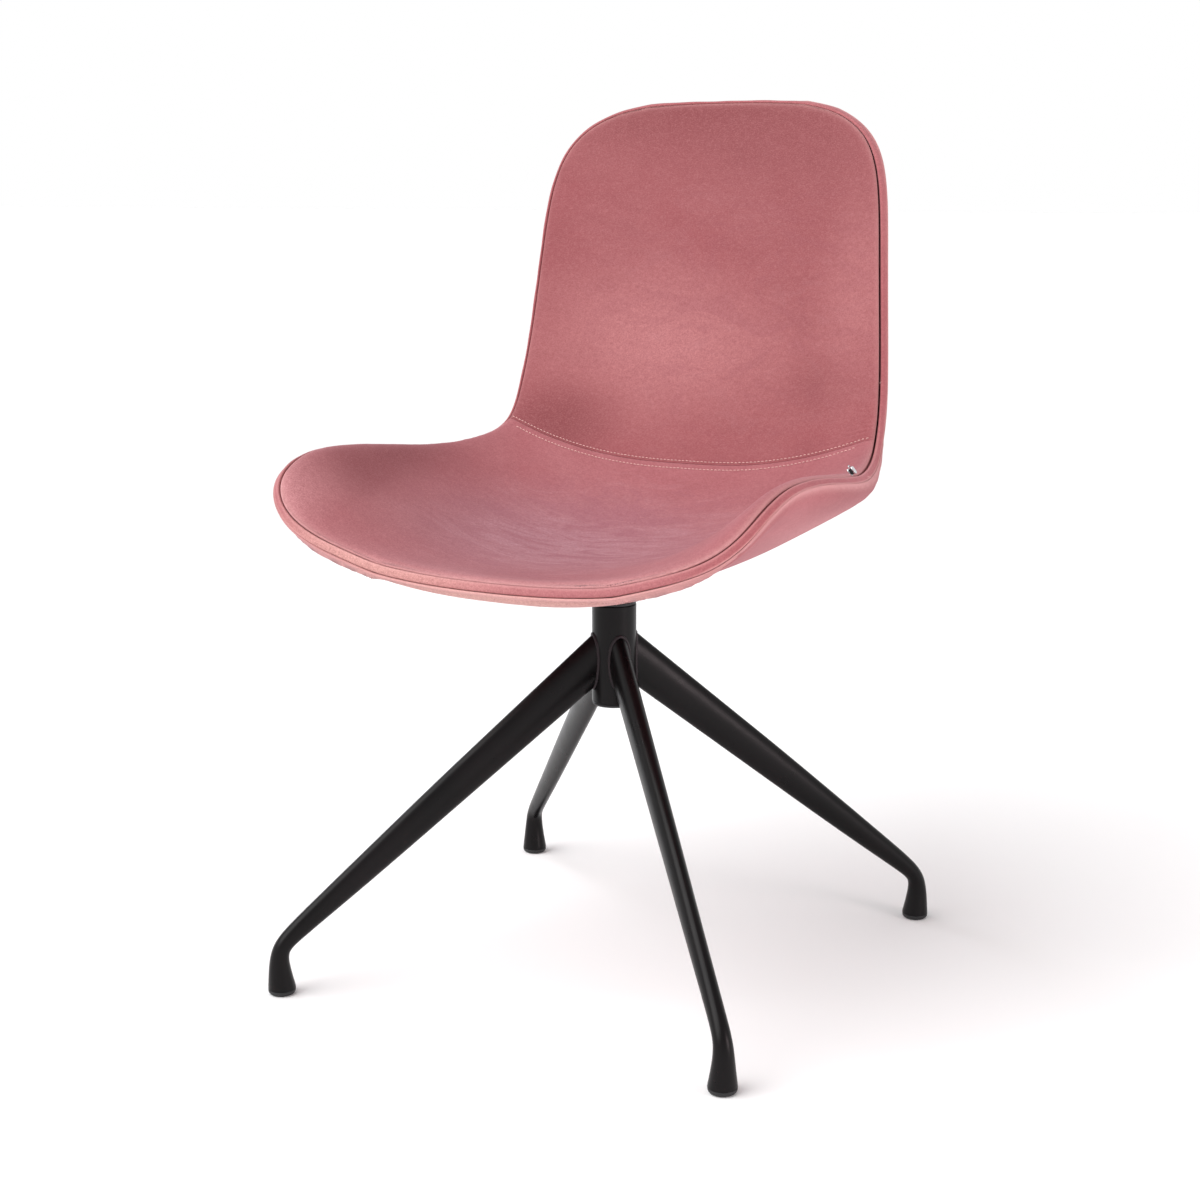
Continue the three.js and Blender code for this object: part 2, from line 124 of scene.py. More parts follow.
# Uneven width along the band: a share of it, and how many waves go round the rim.
BAND_WANDER = [(0.05, 23), (0.04, 57)]
BAND_DEPTH = 11.6 * MM

# Rear covers, and the core as shares of the shell's thickness.
REAR_EDGE = 13.8 * MM
REAR_ROUNDING = 6 * MM
REAR_UNEVENNESS = 0.8 * MM
WAIST_FULLNESS = 14 * MM
WAIST_EDGE_SHARE = 0.35
WAIST_GATHER = 0.35 * MM
UNDER_PINCH = 1.2 * MM
UNDER_PINCH_SIDES = 3.2 * MM
UNDER_PINCH_REACH = 3 * MM
UNDER_HUMP = 4 * MM
FABRIC = 1.6 * MM
CORE_DEPTHS = (0.36, 0.5)
CORE_WIDTH = 0.98

# Vertex grids of the upholstery: rows along the shell, columns across it.
GRID_ROWS = {"back": 130, "seat": 150, "rear": 190, "strip": 46, "core": 90}
GRID_COLUMNS = {"front": 141, "rear": 121, "core": 61}

# Zip slider, at a place along the rim: outlines (along, up) and plates (from, to) out of the
# rim, in millimetres, with its wire bail's half width, place out, foot and rise.
ZIP_AT = 9.35 / 16
SLIDER_SHIELD = [
    (-4.8, 0.0), (-2.8, -1.8), (3.4, -1.8), (4.8, 0.2), (4.8, 3.8), (3.4, 5.8), (-2.8, 5.8),
    (-4.8, 4.4),
]
# Outline of the black block between the plates: painted shade in the gap.
SLIDER_GAP_SHADE = [(-2.2, -1.0), (2.2, -1.0), (2.2, 4.6), (-2.2, 4.6)]
SLIDER_PLATES = [(-2.1, -1.1), (1.9, 2.9)]
BAIL = {"half_width": 2.8, "out": 0.6, "foot": 5.4, "rise": 2.6}
BAIL_WIRE = 0.45 * MM
TAIL_THREAD = 0.16 * MM

# Base: the leg's centre line (reach, height) with its half depth and half width, in millimetres.
# The leg starts at LEG_START along it, and is led on from there to meet the hub.
HUB_RADIUS = 21.2 * MM
LEG = MM * np.array([
    [8, 305, 19.5, 10.2], [120, 217, 18, 9], [235, 122, 13.4, 8.2], [288, 79, 10.6, 7.8],
    [315, 57, 9, 7.8], [328, 44, 7.5, 8.3], [329, 26, 10, 10], [327, 5.3, 13, 13],
])
LEG_AZIMUTHS = {"front_left": -46, "rear_left": 46, "rear_right": 134, "front_right": 226}
LEG_START = 0.16
LEG_SIDES = 56
ROOT_OVERLAP = 0.3 * MM
WELD_RADIUS = 1.9 * MM
WELD_RIPPLE = 0.06
GLIDE_REACH = 327 * MM

# Turned parts: radii and heights in millimetres. A solid one stops at AXIS_RADIUS, where a
# small flat face closes it.
AXIS_RADIUS = 0.4
HUB_BORE = 17.6
HUB_HEIGHTS = (257, 352)
HUB_CHAMFER = 0.5
PLUG_PROFILE = [
    (AXIS_RADIUS, 253.7), (18.6, 253.7), (19.8, 254.0), (20.5, 254.7), (20.8, 255.6),
    (20.8, 256.7), (17.2, 256.7), (17.2, 263), (AXIS_RADIUS, 263),
]
GLIDE_RADIUS = 12.8
GLIDE_ROUNDING = 4.0
GLIDE_HEIGHT = 5.0
GLIDE_STEM = (7.2, 12)
SPINDLE_BORE = 12.8
SPINDLE_RADIUS = 12.4
CLIP_GROOVE = 11
WASHER_RADIUS = 20
RETAINER_RADIUS = 16.6
COLLAR_RADIUS = 19
COLLAR_GAP = 0.3
BUSH_RADIUS = 17.2
FLANGE_RADIUS = 20.8
FLANGE_HEIGHT = 2.6
BOLT_SOCKET = (2.6, 2)
BOLT_DOME = [(4.0, 0), (5.2, 0.6), (5.9, 1.8), (6, 3.6)]
BOLT_SHANK = 3
BOLT_CHAMFER = 0.4
PLATE_CORNER = 14 * MM

BEVEL_SEGMENTS = 3
BEVEL_ANGLE = math.radians(35)

# Camera: it looks at a point on the swivel axis.
LOOK_AT = Vector((0, 0, 0.355))
VIEW_AZIMUTH = math.radians(27.96)
VIEW_ELEVATION = math.radians(11.48)
VIEW_DISTANCE = 1.93
LENS_MM = 60.88
SENSOR_MM = 36
SHIFT_X = -0.0118

# Studio: the world is plain white at the horizon and dimmer overhead.
FLOOR_HALF = 60
WORLD_OVERHEAD = 0.5
WORLD_FADE = (0.12, 0.5)
SUN_PLACE = (-1.6, -1.9, 3.2)
SUN_STRENGTH = 2.3
SUN_ANGLE = math.radians(60)
SOFTBOX_PLACE = (-1.3, -1.9, 1.9)
SOFTBOX_SIZE = 1.6
SOFTBOX_WATTS = 9
# Low lamps at the sides, which draw the highlights down the legs: place, tint and watts.
SIDE_LAMP_SIZE = (0.7, 0.9)
SIDE_LAMPS = [
    ("side_lamp_left", (2.2, -0.25, 0.75), (1, 0.84, 0.86), 14),
    ("side_lamp_right", (-2.1, 1.0, 0.7), (0.9, 0.93, 1), 11),
]


# ---- Surface --------------------------------------------------------------------------------

def spline(points, t):
    """A uniform cubic B-spline through its first and last points, at parameters 0 to 1."""
    p = np.asarray(points, float)
    p = np.vstack([2 * p[0] - p[1], p, 2 * p[-1] - p[-2]])
    last = len(p) - 3
    s = np.clip(t, 0, 1) * last
    i = np.minimum(s.astype(int), last - 1)
    f = (s - i)[..., None]
    weights = [(1 - f) ** 3, 3 * f**3 - 6 * f**2 + 4, -3 * f**3 + 3 * f**2 + 3 * f + 1, f**3]
    return sum(w * p[i + k] for k, w in enumerate(weights)) / 6


def ease(low, high, x):
    """0 up to low and 1 from high on, with a smooth rise between."""
    s = np.clip((np.asarray(x, float) - low) / (high - low), 0, 1)
    return s * s * (3 - 2 * s)


def fade(distance, reach):
    """1 at a seam, dying away with distance from it."""
    return np.exp(-distance / reach)


def ridge(x, middle, reach):
    """1 in the middle, dying away on both sides of it."""
    return np.exp(-(((x - middle) / reach) ** 2))


def surface(v, u):
    """Points of the sitter's side: v runs from the top edge to the front edge, u across."""
    v, u = np.broadcast_arrays(np.asarray(v, float), np.asarray(u, float))
    middle = spline(MIDDLE, v)
    rim = spline(RIM, v)
    lift = (np.abs(u) ** BUCKET_POWER)[..., None]
    profile = middle * (1 - lift) + rim[..., 1:] * lift
    return np.concatenate([(u * rim[..., 0])[..., None], profile], axis=-1)


def unit(vectors):
    return vectors / np.linalg.norm(vectors, axis=-1, keepdims=True)


def surface_normal(v, u):
    """The direction towards the sitter, taken a little inside the edges."""
    v, u = np.broadcast_arrays(np.asarray(v, float), np.asarray(u, float))
    step = 0.01
    v = np.clip(v, 0.05, 0.95)
    u = u * 0.9
    along = surface(v + step, u) - surface(v - step, u)
    sideways = surface(v, u + step) - surface(v, u - step)
    return unit(np.cross(along, sideways))


def thickness(v):
    """The upholstered shell's thickness, which grows from the back into the seat."""
    return SEAT_THICKNESS * (BACK_THINNING + (1 - BACK_THINNING) * ease(*THICKENS_AT, v))


def rim_places(count):
    """Evenly spaced places (v, u) round the rim, from the top left corner of the back."""
    side = np.linspace(0, 1, 400)
    v = np.concatenate([0 * side, side, 0 * side + 1, side[::-1]])
    u = np.concatenate([2 * side - 1, 0 * side + 1, 1 - 2 * side, 0 * side - 1])
    points = surface(v, u)
    run = np.concatenate([[0], np.cumsum(np.linalg.norm(np.diff(points, axis=0), axis=1))])
    at = np.linspace(0, run[-1], count, endpoint=False)
    return np.interp(at, run, v), np.interp(at, run, u)


def smooth_loop(values, passes):
    for _ in range(passes):
        values = (np.roll(values, 1, 0) + 2 * values + np.roll(values, -1, 0)) / 4
    return values


def loop_frames(points, normals):
    """Unit vectors that point out of a loop of points, in the surface."""
    run = unit(np.roll(points, -1, 0) - np.roll(points, 1, 0))
    out = unit(np.cross(run, normals))
    centre = points.mean(axis=0)
    if np.sum(out * (points - centre)) < 0:
        out = -out
    return out


def distance_to(points, curve):
    tree = kdtree.KDTree(len(curve))
    for i, p in enumerate(curve):
        tree.insert(p, i)
    tree.balance()
    flat = points.reshape(-1, 3)
    return np.array([tree.find(p)[2] for p in flat]).reshape(points.shape[:-1])


RIM_STATIONS = 900
RIM_SMOOTHING = 26
RIM_V, RIM_U = rim_places(RIM_STATIONS)
RIM_POINTS = smooth_loop(surface(RIM_V, RIM_U), RIM_SMOOTHING)
RIM_NORMALS = unit(smooth_loop(surface_normal(RIM_V, RIM_U), RIM_SMOOTHING))
RIM_OUT = loop_frames(RIM_POINTS, RIM_NORMALS)
SEAM_POINTS = surface(LUMBAR_SEAM, np.linspace(-1, 1, 500))


# ---- Meshes ---------------------------------------------------------------------------------

def add_object(name, data):
    added = bpy.data.objects.new(name, data)
    bpy.context.scene.collection.objects.link(added)
    return added


def new_piece(name, vertices, faces, made, body, *replaced, slot=None, seam_pale_and_lit=None):
    """A smooth-shaded mesh that rides on a body and stands for the CAD nodes named. The seam
    paleness says for each vertex how pale a seam makes the pile there: where it parts the pile,
    and a painted highlight along it."""
    mesh = bpy.data.meshes.new(name)
    mesh.from_pydata([tuple(p) for p in vertices], [], [tuple(f) for f in faces])
    if seam_pale_and_lit is not None:
        layer = mesh.attributes.new("seam_pale_and_lit", "FLOAT", "POINT")
        layer.data.foreach_set("value", np.asarray(seam_pale_and_lit, np.float32))
    bm = bmesh.new()
    bm.from_mesh(mesh)
    bmesh.ops.remove_doubles(bm, verts=bm.verts, dist=1e-6)
    bmesh.ops.recalc_face_normals(bm, faces=bm.faces)
    bm.to_mesh(mesh)
    bm.free()
    mesh.polygons.foreach_set("use_smooth", [True] * len(mesh.polygons))
    mesh.materials.append(made)
    piece = add_object(name, mesh)
    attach(piece, body)
    if replaced:
        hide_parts(*replaced)
    return piece


def bevelled(piece, width):
    """Rounds the sharp edges of a piece and keeps its flats flat."""
    bevel = piece.modifiers.new("rounded_edges", "BEVEL")
    bevel.width = width
    bevel.segments = BEVEL_SEGMENTS
    bevel.limit_method = "ANGLE"
    bevel.angle_limit = BEVEL_ANGLE
    bevel.harden_normals = True
    return piece


def ring_faces(rings, count, closed):
    """Quads between rings of vertices stored one after another."""
    faces = []
    for r in range(rings if closed else rings - 1):
        a, b = r * count, ((r + 1) % rings) * count
        faces += [(a + i, a + (i + 1) % count, b + (i + 1) % count, b + i) for i in range(count)]
    return faces


def tube_faces(rings, count):
    """Quads between rings, and a face over each end."""
    last = (rings - 1) * count
    return ring_faces(rings, count, False) + [tuple(range(count)), tuple(range(last, last + count))]


def shifted(faces, start):
    return [tuple(start + k for k in face) for face in faces]


def turned(name, profile, made, body, *replaced, at=(0, 0), segments=72, slot=None):
    """A body turned about an upright axis from (radius, height) points in millimetres."""
    angles = np.linspace(0, 2 * math.pi, segments, endpoint=False)
    rings = [
        [(at[0] + r * MM * math.cos(a), at[1] + r * MM * math.sin(a), z * MM) for a in angles]
        for r, z in profile
    ]
    if profile[0] == profile[-1]:
        rings.pop()
        faces = ring_faces(len(rings), segments, True)
    else:
        faces = tube_faces(len(rings), segments)
    return new_piece(name, sum(rings, []), faces, made, body, *replaced, slot=slot)


def swept(name, frames, sections, made, body, *replaced, slot=None, seam_pale_and_lit=None):
    """A closed ring with a closed section: frames give centre, out and normal at each station."""
    centre, out, normal = frames
    rings = [
        centre[i] + section[:, :1] * out[i] - section[:, 1:] * normal[i]
        for i, section in enumerate(sections)
    ]
    count = len(sections[0])
    faces = ring_faces(len(rings), count, True)
    return new_piece(
        name, np.vstack(rings), faces, made, body, *replaced, slot=slot, seam_pale_and_lit=seam_pale_and_lit
    )


def thread(name, points, radius, made, body, closed=False, sides=8, ripple=0.0):
    """A round bead or thread along a curve; ripple is how unevenly thick it is."""
    ripple_step = 1.9
    never_along = [0.13, 0.21, 0.97]
    points = np.asarray(points, float)
    if closed:
        run = unit(np.roll(points, -1, 0) - np.roll(points, 1, 0))
    else:
        run = unit(np.gradient(points, axis=0))
    side = unit(np.cross(run, np.tile(never_along, (len(points), 1))))
    up = np.cross(side, run)
    angles = np.linspace(0, 2 * math.pi, sides, endpoint=False)
    rings = []
    for i, p in enumerate(points):
        r = radius * (1 + ripple * math.sin(i * ripple_step))
        rings += [p + r * (math.cos(a) * side[i] + math.sin(a) * up[i]) for a in angles]
    count = len(points)
    faces = ring_faces(count, sides, True) if closed else tube_faces(count, sides)
    return new_piece(name, rings, faces, made, body)


def grid_loop(rows, columns):
    """Outer vertices of a grid in order."""
    top = list(range(columns))
    right = [r * columns + columns - 1 for r in range(1, rows)]
    bottom = [(rows - 1) * columns + c for c in range(columns - 2, -1, -1)]
    left = [r * columns for r in range(rows - 2, 0, -1)]
    return top + right + bottom + left


def grid_faces(rows, columns, start):
    return [
        (a, a + 1, a + columns + 1, a + columns)
        for r in range(rows - 1)
        for a in range(start + r * columns, start + r * columns + columns - 1)
    ]


def panel(name, vv, uu, depth, rolls, inner_depth, made, *replaced, slot):
    """A closed upholstery panel over a grid of places. depth gives the shown face's depth under
    the sitter's side at each place; rolls are rings (out, depth) that turn its edge in. Its
    rolled edge is paler, where the seam parts the pile, with a painted highlight along it."""
    rows, columns = vv.shape
    base, normals = surface(vv, uu), surface_normal(vv, uu)
    shown = base - depth[..., None] * normals
    loop = grid_loop(rows, columns)
    loop_base = base.reshape(-1, 3)[loop]
    loop_normals = normals.reshape(-1, 3)[loop]
    out = loop_frames(smooth_loop(loop_base, 2), loop_normals)
    rings = [loop_base + o * out - d * loop_normals for o, d in rolls]
    inner = (base - inner_depth[..., None] * normals).reshape(-1, 3)
    inner[loop] -= FABRIC * out
    faces = grid_faces(rows, columns, 0)
    size, count = rows * columns, len(loop)
    last = size + len(rings) * count
    faces += [tuple(reversed(f)) for f in grid_faces(rows, columns, last)]
    chain = [loop] + [range(size + k * count, size + (k + 1) * count) for k in range(len(rings))]
    chain.append([last + i for i in loop])
    for near_ring, far_ring in zip(chain, chain[1:]):
        for i in range(count):
            j = (i + 1) % count
            faces.append((near_ring[i], near_ring[j], far_ring[j], far_ring[i]))
    # Paler at the rim and on the rolled edge: pile parts at the seam, and a painted highlight along
    # the crest.
    edge = fade(distance_to(base, RIM_POINTS), reach=1.5 * MM).reshape(-1)
    seam_pale_and_lit = np.concatenate([edge, np.ones(len(rings) * count), np.zeros(size)])
    vertices = np.vstack([shown.reshape(-1, 3), *rings, inner])
    return new_piece(
        name, vertices, faces, made, "seat", *replaced, slot=slot, seam_pale_and_lit=seam_pale_and_lit
    )


# ---- Materials ------------------------------------------------------------------------------

def material(name, **inputs):
    """A Principled material; plain values go straight on the shader's sockets."""
    made = bpy.data.materials.new(name)
    made.use_nodes = True
    shader = made.node_tree.nodes["Principled BSDF"]
    for key, value in inputs.items():
        shader.inputs[key.replace("_", " ")].default_value = value
    return made, made.node_tree, shader


def connect(tree, shader, **sockets):
    """Links values to the shader's sockets."""
    for key, value in sockets.items():
        tree.links.new(value, shader.inputs[key.replace("_", " ")])


def add_node(tree, kind, inputs=None, **settings):
    node = tree.nodes.new(kind)
    for key, value in settings.items():
        setattr(node, key, value)
    for key, value in (inputs or {}).items():
        if isinstance(value, bpy.types.NodeSocket):
            tree.links.new(value, node.inputs[key])
        else:
            node.inputs[key].default_value = value
    return node


def noise_value(tree, scale, detail=3.0, roughness=0.5, distortion=0.0, squeeze=(1, 1, 1)):
    """Noise in the object's own frame, squeezed along its axes."""
    place = add_node(tree, "ShaderNodeTexCoord").outputs["Object"]
    squeezed = add_node(tree, "ShaderNodeMapping", {"Vector": place, "Scale": squeeze})
    inputs = {
        "Vector": squeezed.outputs["Vector"], "Scale": scale, "Detail": detail,
        "Roughness": roughness, "Distortion": distortion,
    }
    return add_node(tree, "ShaderNodeTexNoise", inputs).outputs["Fac"]


def spread(tree, value, low, high, to_low=0.0, to_high=1.0):
    inputs = {
        "Value": value, "From Min": low, "From Max": high, "To Min": to_low, "To Max": to_high,
    }
    return add_node(tree, "ShaderNodeMapRange", inputs).outputs["Result"]


def mix(tree, factor, a, b, blend_type="MIX"):
    node = tree.nodes.new("ShaderNodeMix")
    node.data_type = "RGBA"
    node.blend_type = blend_type
    for socket, value in ((node.inputs[0], factor), (node.inputs[6], a), (node.inputs[7], b)):
        if isinstance(value, bpy.types.NodeSocket):
            tree.links.new(value, socket)
        else:
            socket.default_value = value
    return node.outputs[2]


def bump(tree, height, strength, distance, under=None):
    inputs = {"Height": height, "Strength": strength, "Distance": distance}
    if under is not None:
        inputs["Normal"] = under
    return add_node(tree, "ShaderNodeBump", inputs).outputs["Normal"]


def near(tree, centre, reach):
    """1 at a place in the object's frame, falling to 0 at the reach along each axis."""
    place = add_node(tree, "ShaderNodeTexCoord").outputs["Object"]
    shift = add_node(tree, "ShaderNodeVectorMath", {0: place, 1: centre}, operation="SUBTRACT")
    scaled = add_node(
        tree, "ShaderNodeVectorMath", {0: shift.outputs[0], 1: reach}, operation="DIVIDE"
    )
    length = add_node(tree, "ShaderNodeVectorMath", {0: scaled.outputs[0]}, operation="LENGTH")
    inputs = {"Value": length.outputs["Value"], "From Min": 1.0, "From Max": 0.0}
    node = add_node(tree, "ShaderNodeMapRange", inputs, interpolation_type="SMOOTHSTEP")
    return node.outputs["Result"]


def times(tree, a, b):
    return add_node(tree, "ShaderNodeMath", {0: a, 1: b}, operation="MULTIPLY").outputs[0]


def tone_where(tree, value, low, high, share, colour, tone):
    """Mixes a tone into a colour, up to a share of it, as a value goes from low to high."""
    return mix(tree, spread(tree, value, low, high, 0, share), colour, (*tone, 1))


def velvet(name, tint, light_and_shade, nap_marks=None):
    """Short-pile velvet: soft blotches where the nap lies another way, fine pile, a cool sheen,
    soft areas of painted light and shade, and paler lines where the seams part the pile, which
    also paint in the highlight along the seams' ridges. tint multiplies the rose colours, and
    paints light and shade into each panel's copy."""
    made, tree, shader = material(
        name, Roughness=0.95, Sheen_Weight=0.18, Sheen_Roughness=0.45,
        Sheen_Tint=(0.92, 0.70, 0.78, 1), Specular_IOR_Level=0.1,
    )
    blotches = spread(tree, noise_value(tree, 6, 3, 0.55, 0.6), 0.42, 0.66)
    colour = mix(tree, times(tree, blotches, 0.35), (*ROSE, 1), (*ROSE_LIT_AND_PALE, 1))
    brushed = noise_value(tree, 14, 4, 0.6, 0.4, squeeze=(1, 1, 3))
    colour = tone_where(tree, brushed, 0.5, 0.74, 0.28, colour, ROSE_SHADE_AND_DARK)
    # Soft areas of painted light and shade.
    for centre, reach, tone, amount in light_and_shade:
        patch = times(tree, near(tree, centre, reach), amount)
        colour = mix(tree, patch, colour, (*tone, 1))
    if nap_marks:
        colour = add_nap_marks(tree, colour, *nap_marks)
    colour = mix(tree, 1.0, colour, (*tint, 1), "MULTIPLY")
    mottle = noise_value(tree, 210, 5, 0.7, 0.3, squeeze=(1, 1, 1.5))
    colour = tone_where(tree, mottle, 0.45, 0.7, 0.24, colour, ROSE_SHADE_AND_DARK)
    colour = tone_where(tree, mottle, 0.5, 0.3, 0.12, colour, ROSE_HIGHLIGHT_AND_MOTTLE)
    pile = noise_value(tree, 700, 2, 0.7)
    colour = tone_where(tree, pile, 0.35, 0.7, 0.55, colour, ROSE_SHADE_AND_DARK)
    weave = noise_value(tree, 1500, 2, 0.5, squeeze=(0.4, 0.4, 1))
    colour = tone_where(tree, weave, 0.45, 0.7, 0.25, colour, ROSE_LIT_AND_PALE)
    # Paler where a seam parts the pile, which also paints in the highlight along the seams' ridges.
    seam_pale_and_lit_fac = add_node(tree, "ShaderNodeAttribute", attribute_name="seam_pale_and_lit").outputs["Fac"]
    colour = mix(tree, times(tree, seam_pale_and_lit_fac, 0.5), colour, (*PALE_PILE_AND_HIGHLIGHT, 1))
    soft = noise_value(tree, 26, 3, 0.5)
    normal = bump(tree, pile, 0.4, 0.0006, under=bump(tree, soft, 0.12, 0.004))
    connect(tree, shader, Base_Color=colour, Normal=normal)
    return made


def add_nap_marks(tree, colour, centre, reach, amount):
    """Wavy strokes round a place, where the pile was brushed one way and the other."""
    strokes = noise_value(tree, 24, 5, 0.62, 1.9, squeeze=(0.5, 1.7, 1.1))
    middle = near(tree, centre, reach)
    dark = times(tree, times(tree, spread(tree, strokes, 0.50, 0.60), middle), amount)
    pale = times(tree, times(tree, spread(tree, strokes, 0.47, 0.36), middle), 0.6 * amount)
    colour = mix(tree, dark, colour, (*NAP_MARK, 1))
    return mix(tree, pale, colour, (*NAP_PALE, 1))


def powder_coat(name, lift=1.0):
    """Black powder coat, a little uneven; a lift factor lightens it, which paints a highlight into
    the weld beads.
    """
    made, tree, shader = material(name, Specular_IOR_Level=0.17)
    speckle = noise_value(tree, 1400, 2, 0.6)
    tone = spread(tree, noise_value(tree, 9, 2), 0.3, 0.7)
    deep = [c * lift for c in COAT_DEEP]
    pale = [c * lift for c in COAT_PALE]
    colour = mix(tree, tone, (*deep, 1), (*pale, 1))
    colour = tone_where(tree, speckle, 0.62, 0.75, 0.2, colour, COAT_SPECKLE)
    rough = spread(tree, noise_value(tree, 60, 3), 0.3, 0.7, 0.27, 0.34)
    normal = bump(tree, speckle, 0.16, 0.0003)
    connect(tree, shader, Base_Color=colour, Roughness=rough, Normal=normal)
    return made


def moulded_plastic(name, colour, roughness=0.55):
    made, tree, shader = material(name, Specular_IOR_Level=0.4)
    grain = noise_value(tree, 1800, 2, 0.6)
    lighter = tuple(min(1, c * 1.35 + 0.004) for c in colour)
    shade = mix(tree, spread(tree, grain, 0.35, 0.7), (*colour, 1), (*lighter, 1))
    rough = spread(tree, grain, 0.3, 0.7, roughness - 0.06, roughness + 0.06)
    normal = bump(tree, grain, 0.12, 0.0003)
    connect(tree, shader, Base_Color=shade, Roughness=rough, Normal=normal)
    return made


def zinc_steel(name, colour=(0.62, 0.62, 0.64), roughness=0.32):
    made, tree, shader = material(name, Metallic=1.0)
    brushed = noise_value(tree, 420, 3, 0.6, squeeze=(1, 1, 14))
    dull = tuple(c * 0.72 for c in colour)
    shade = mix(tree, spread(tree, brushed, 0.35, 0.7), (*colour, 1), (*dull, 1))
    rough = spread(tree, brushed, 0.3, 0.7, roughness - 0.08, roughness + 0.1)
    normal = bump(tree, brushed, 0.06, 0.0002)
    connect(tree, shader, Base_Color=shade, Roughness=rough, Normal=normal)
    return made


def plywood():
    made, tree, shader = material("plywood", Roughness=0.6)
    grain = noise_value(tree, 30, 5, 0.6, 1.5, squeeze=(9, 1, 1))
    shade = mix(tree, spread(tree, grain, 0.35, 0.65), (0.58, 0.38, 0.2, 1), (0.42, 0.25, 0.12, 1))
    connect(tree, shader, Base_Color=shade, Normal=bump(tree, grain, 0.2, 0.0005))
    return made


def sewing_thread():
    made, tree, shader = material("sewing_thread", Roughness=0.55, Sheen_Weight=0.3)
    twist = noise_value(tree, 1500, 2)
    shade = mix(tree, spread(tree, twist, 0.3, 0.7), (0.82, 0.50, 0.47, 1), (0.70, 0.38, 0.36, 1))
    connect(tree, shader, Base_Color=shade)
    return made


ROSE = (0.40, 0.125, 0.135)
# Paler rose: the pile's own lighter tone, and painted light.
ROSE_LIT_AND_PALE = (0.54, 0.235, 0.24)
# Darker rose: the pile's own darker tone, and painted shade.
ROSE_SHADE_AND_DARK = (0.265, 0.078, 0.084)
# Painted light from the floor under the front edge.
SALMON_BOUNCE_LIGHT = (0.78, 0.46, 0.40)
# Pale rose: the pile's own pale mottling, and painted highlights.
ROSE_HIGHLIGHT_AND_MOTTLE = (0.68, 0.31, 0.31)
# A painted sheen in the middle of the seat.
PAINTED_LILAC_SHEEN = (0.45, 0.215, 0.245)
NAP_MARK = (0.35, 0.125, 0.155)
NAP_PALE = (0.56, 0.30, 0.33)
# Pale pile at the seams, also the painted highlight along their ridges.
PALE_PILE_AND_HIGHLIGHT = (0.70, 0.38, 0.37)
COAT_DEEP = (0.0022, 0.0018, 0.002)
COAT_PALE = (0.0052, 0.0036, 0.0042)
COAT_SPECKLE = (0.03, 0.027, 0.027)
# Painted light and shade on the velvet, where light and shade fall: centre, reach, tone and amount.
# On the back: painted shade across the top, at the upper right and low on both sides, and painted
# highlights across the middle.
BACK_LIGHT_AND_SHADE = [
    ((0.0, 0.23, 0.83), (0.26, 0.12, 0.13), ROSE_SHADE_AND_DARK, 0.8),
    ((0.12, 0.21, 0.76), (0.18, 0.12, 0.12), ROSE_SHADE_AND_DARK, 0.35),
    ((-0.04, 0.18, 0.585), (0.24, 0.12, 0.115), ROSE_HIGHLIGHT_AND_MOTTLE, 1.0),
    ((0.17, 0.18, 0.63), (0.07, 0.12, 0.16), ROSE_HIGHLIGHT_AND_MOTTLE, 0.6),
    ((0.13, 0.17, 0.55), (0.05, 0.12, 0.05), ROSE_SHADE_AND_DARK, 0.35),
    ((-0.15, 0.16, 0.50), (0.10, 0.12, 0.06), ROSE_SHADE_AND_DARK, 0.9),
]
# On the seat: painted shade on the far wing and at the near side towards the back, a painted lilac
# sheen in the middle, and painted highlights on the front lip, the far wing's front and the near
# crest.
SEAT_LIGHT_AND_SHADE = [
    ((-0.215, -0.04, 0.487), (0.055, 0.16, 0.045), ROSE_SHADE_AND_DARK, 1.0),
    ((-0.21, -0.12, 0.48), (0.06, 0.09, 0.045), ROSE_SHADE_AND_DARK, 0.8),
    ((-0.05, -0.03, 0.41), (0.25, 0.20, 0.08), PAINTED_LILAC_SHEEN, 1.0),
    ((0.0, -0.25, 0.42), (0.34, 0.065, 0.08), ROSE_HIGHLIGHT_AND_MOTTLE, 0.8),
    ((-0.24, -0.20, 0.46), (0.07, 0.12, 0.06), ROSE_HIGHLIGHT_AND_MOTTLE, 0.9),
    ((0.17, 0.12, 0.44), (0.10, 0.09, 0.05), ROSE_SHADE_AND_DARK, 0.35),
    ((0.21, -0.13, 0.475), (0.028, 0.07, 0.04), ROSE_HIGHLIGHT_AND_MOTTLE, 0.7),
]
# On the rear covers: painted light from the floor under the front edge and low on the sides, and
# painted shade under the band at the waist.
REAR_LIGHT_AND_SHADE = [
    ((0.0, -0.22, 0.39), (0.34, 0.08, 0.08), SALMON_BOUNCE_LIGHT, 1.0),
    *[((x, 0.0, 0.44), (0.12, 0.18, 0.06), ROSE_LIT_AND_PALE, 0.85) for x in (0.22, -0.22)],
    *[((x, 0.08, 0.48), (0.06, 0.10, 0.035), ROSE_SHADE_AND_DARK, 0.9) for x in (0.21, -0.21)],
    ((0.23, 0.0, 0.475), (0.06, 0.14, 0.035), ROSE_SHADE_AND_DARK, 0.7),
]
# On the band: painted light from the floor along the front edge.
BAND_LIGHT_AND_SHADE = [
    ((0.0, -0.22, 0.42), (0.34, 0.08, 0.06), ROSE_LIT_AND_PALE, 0.7),
    ((-0.13, -0.23, 0.42), (0.20, 0.08, 0.06), SALMON_BOUNCE_LIGHT, 0.8),
]
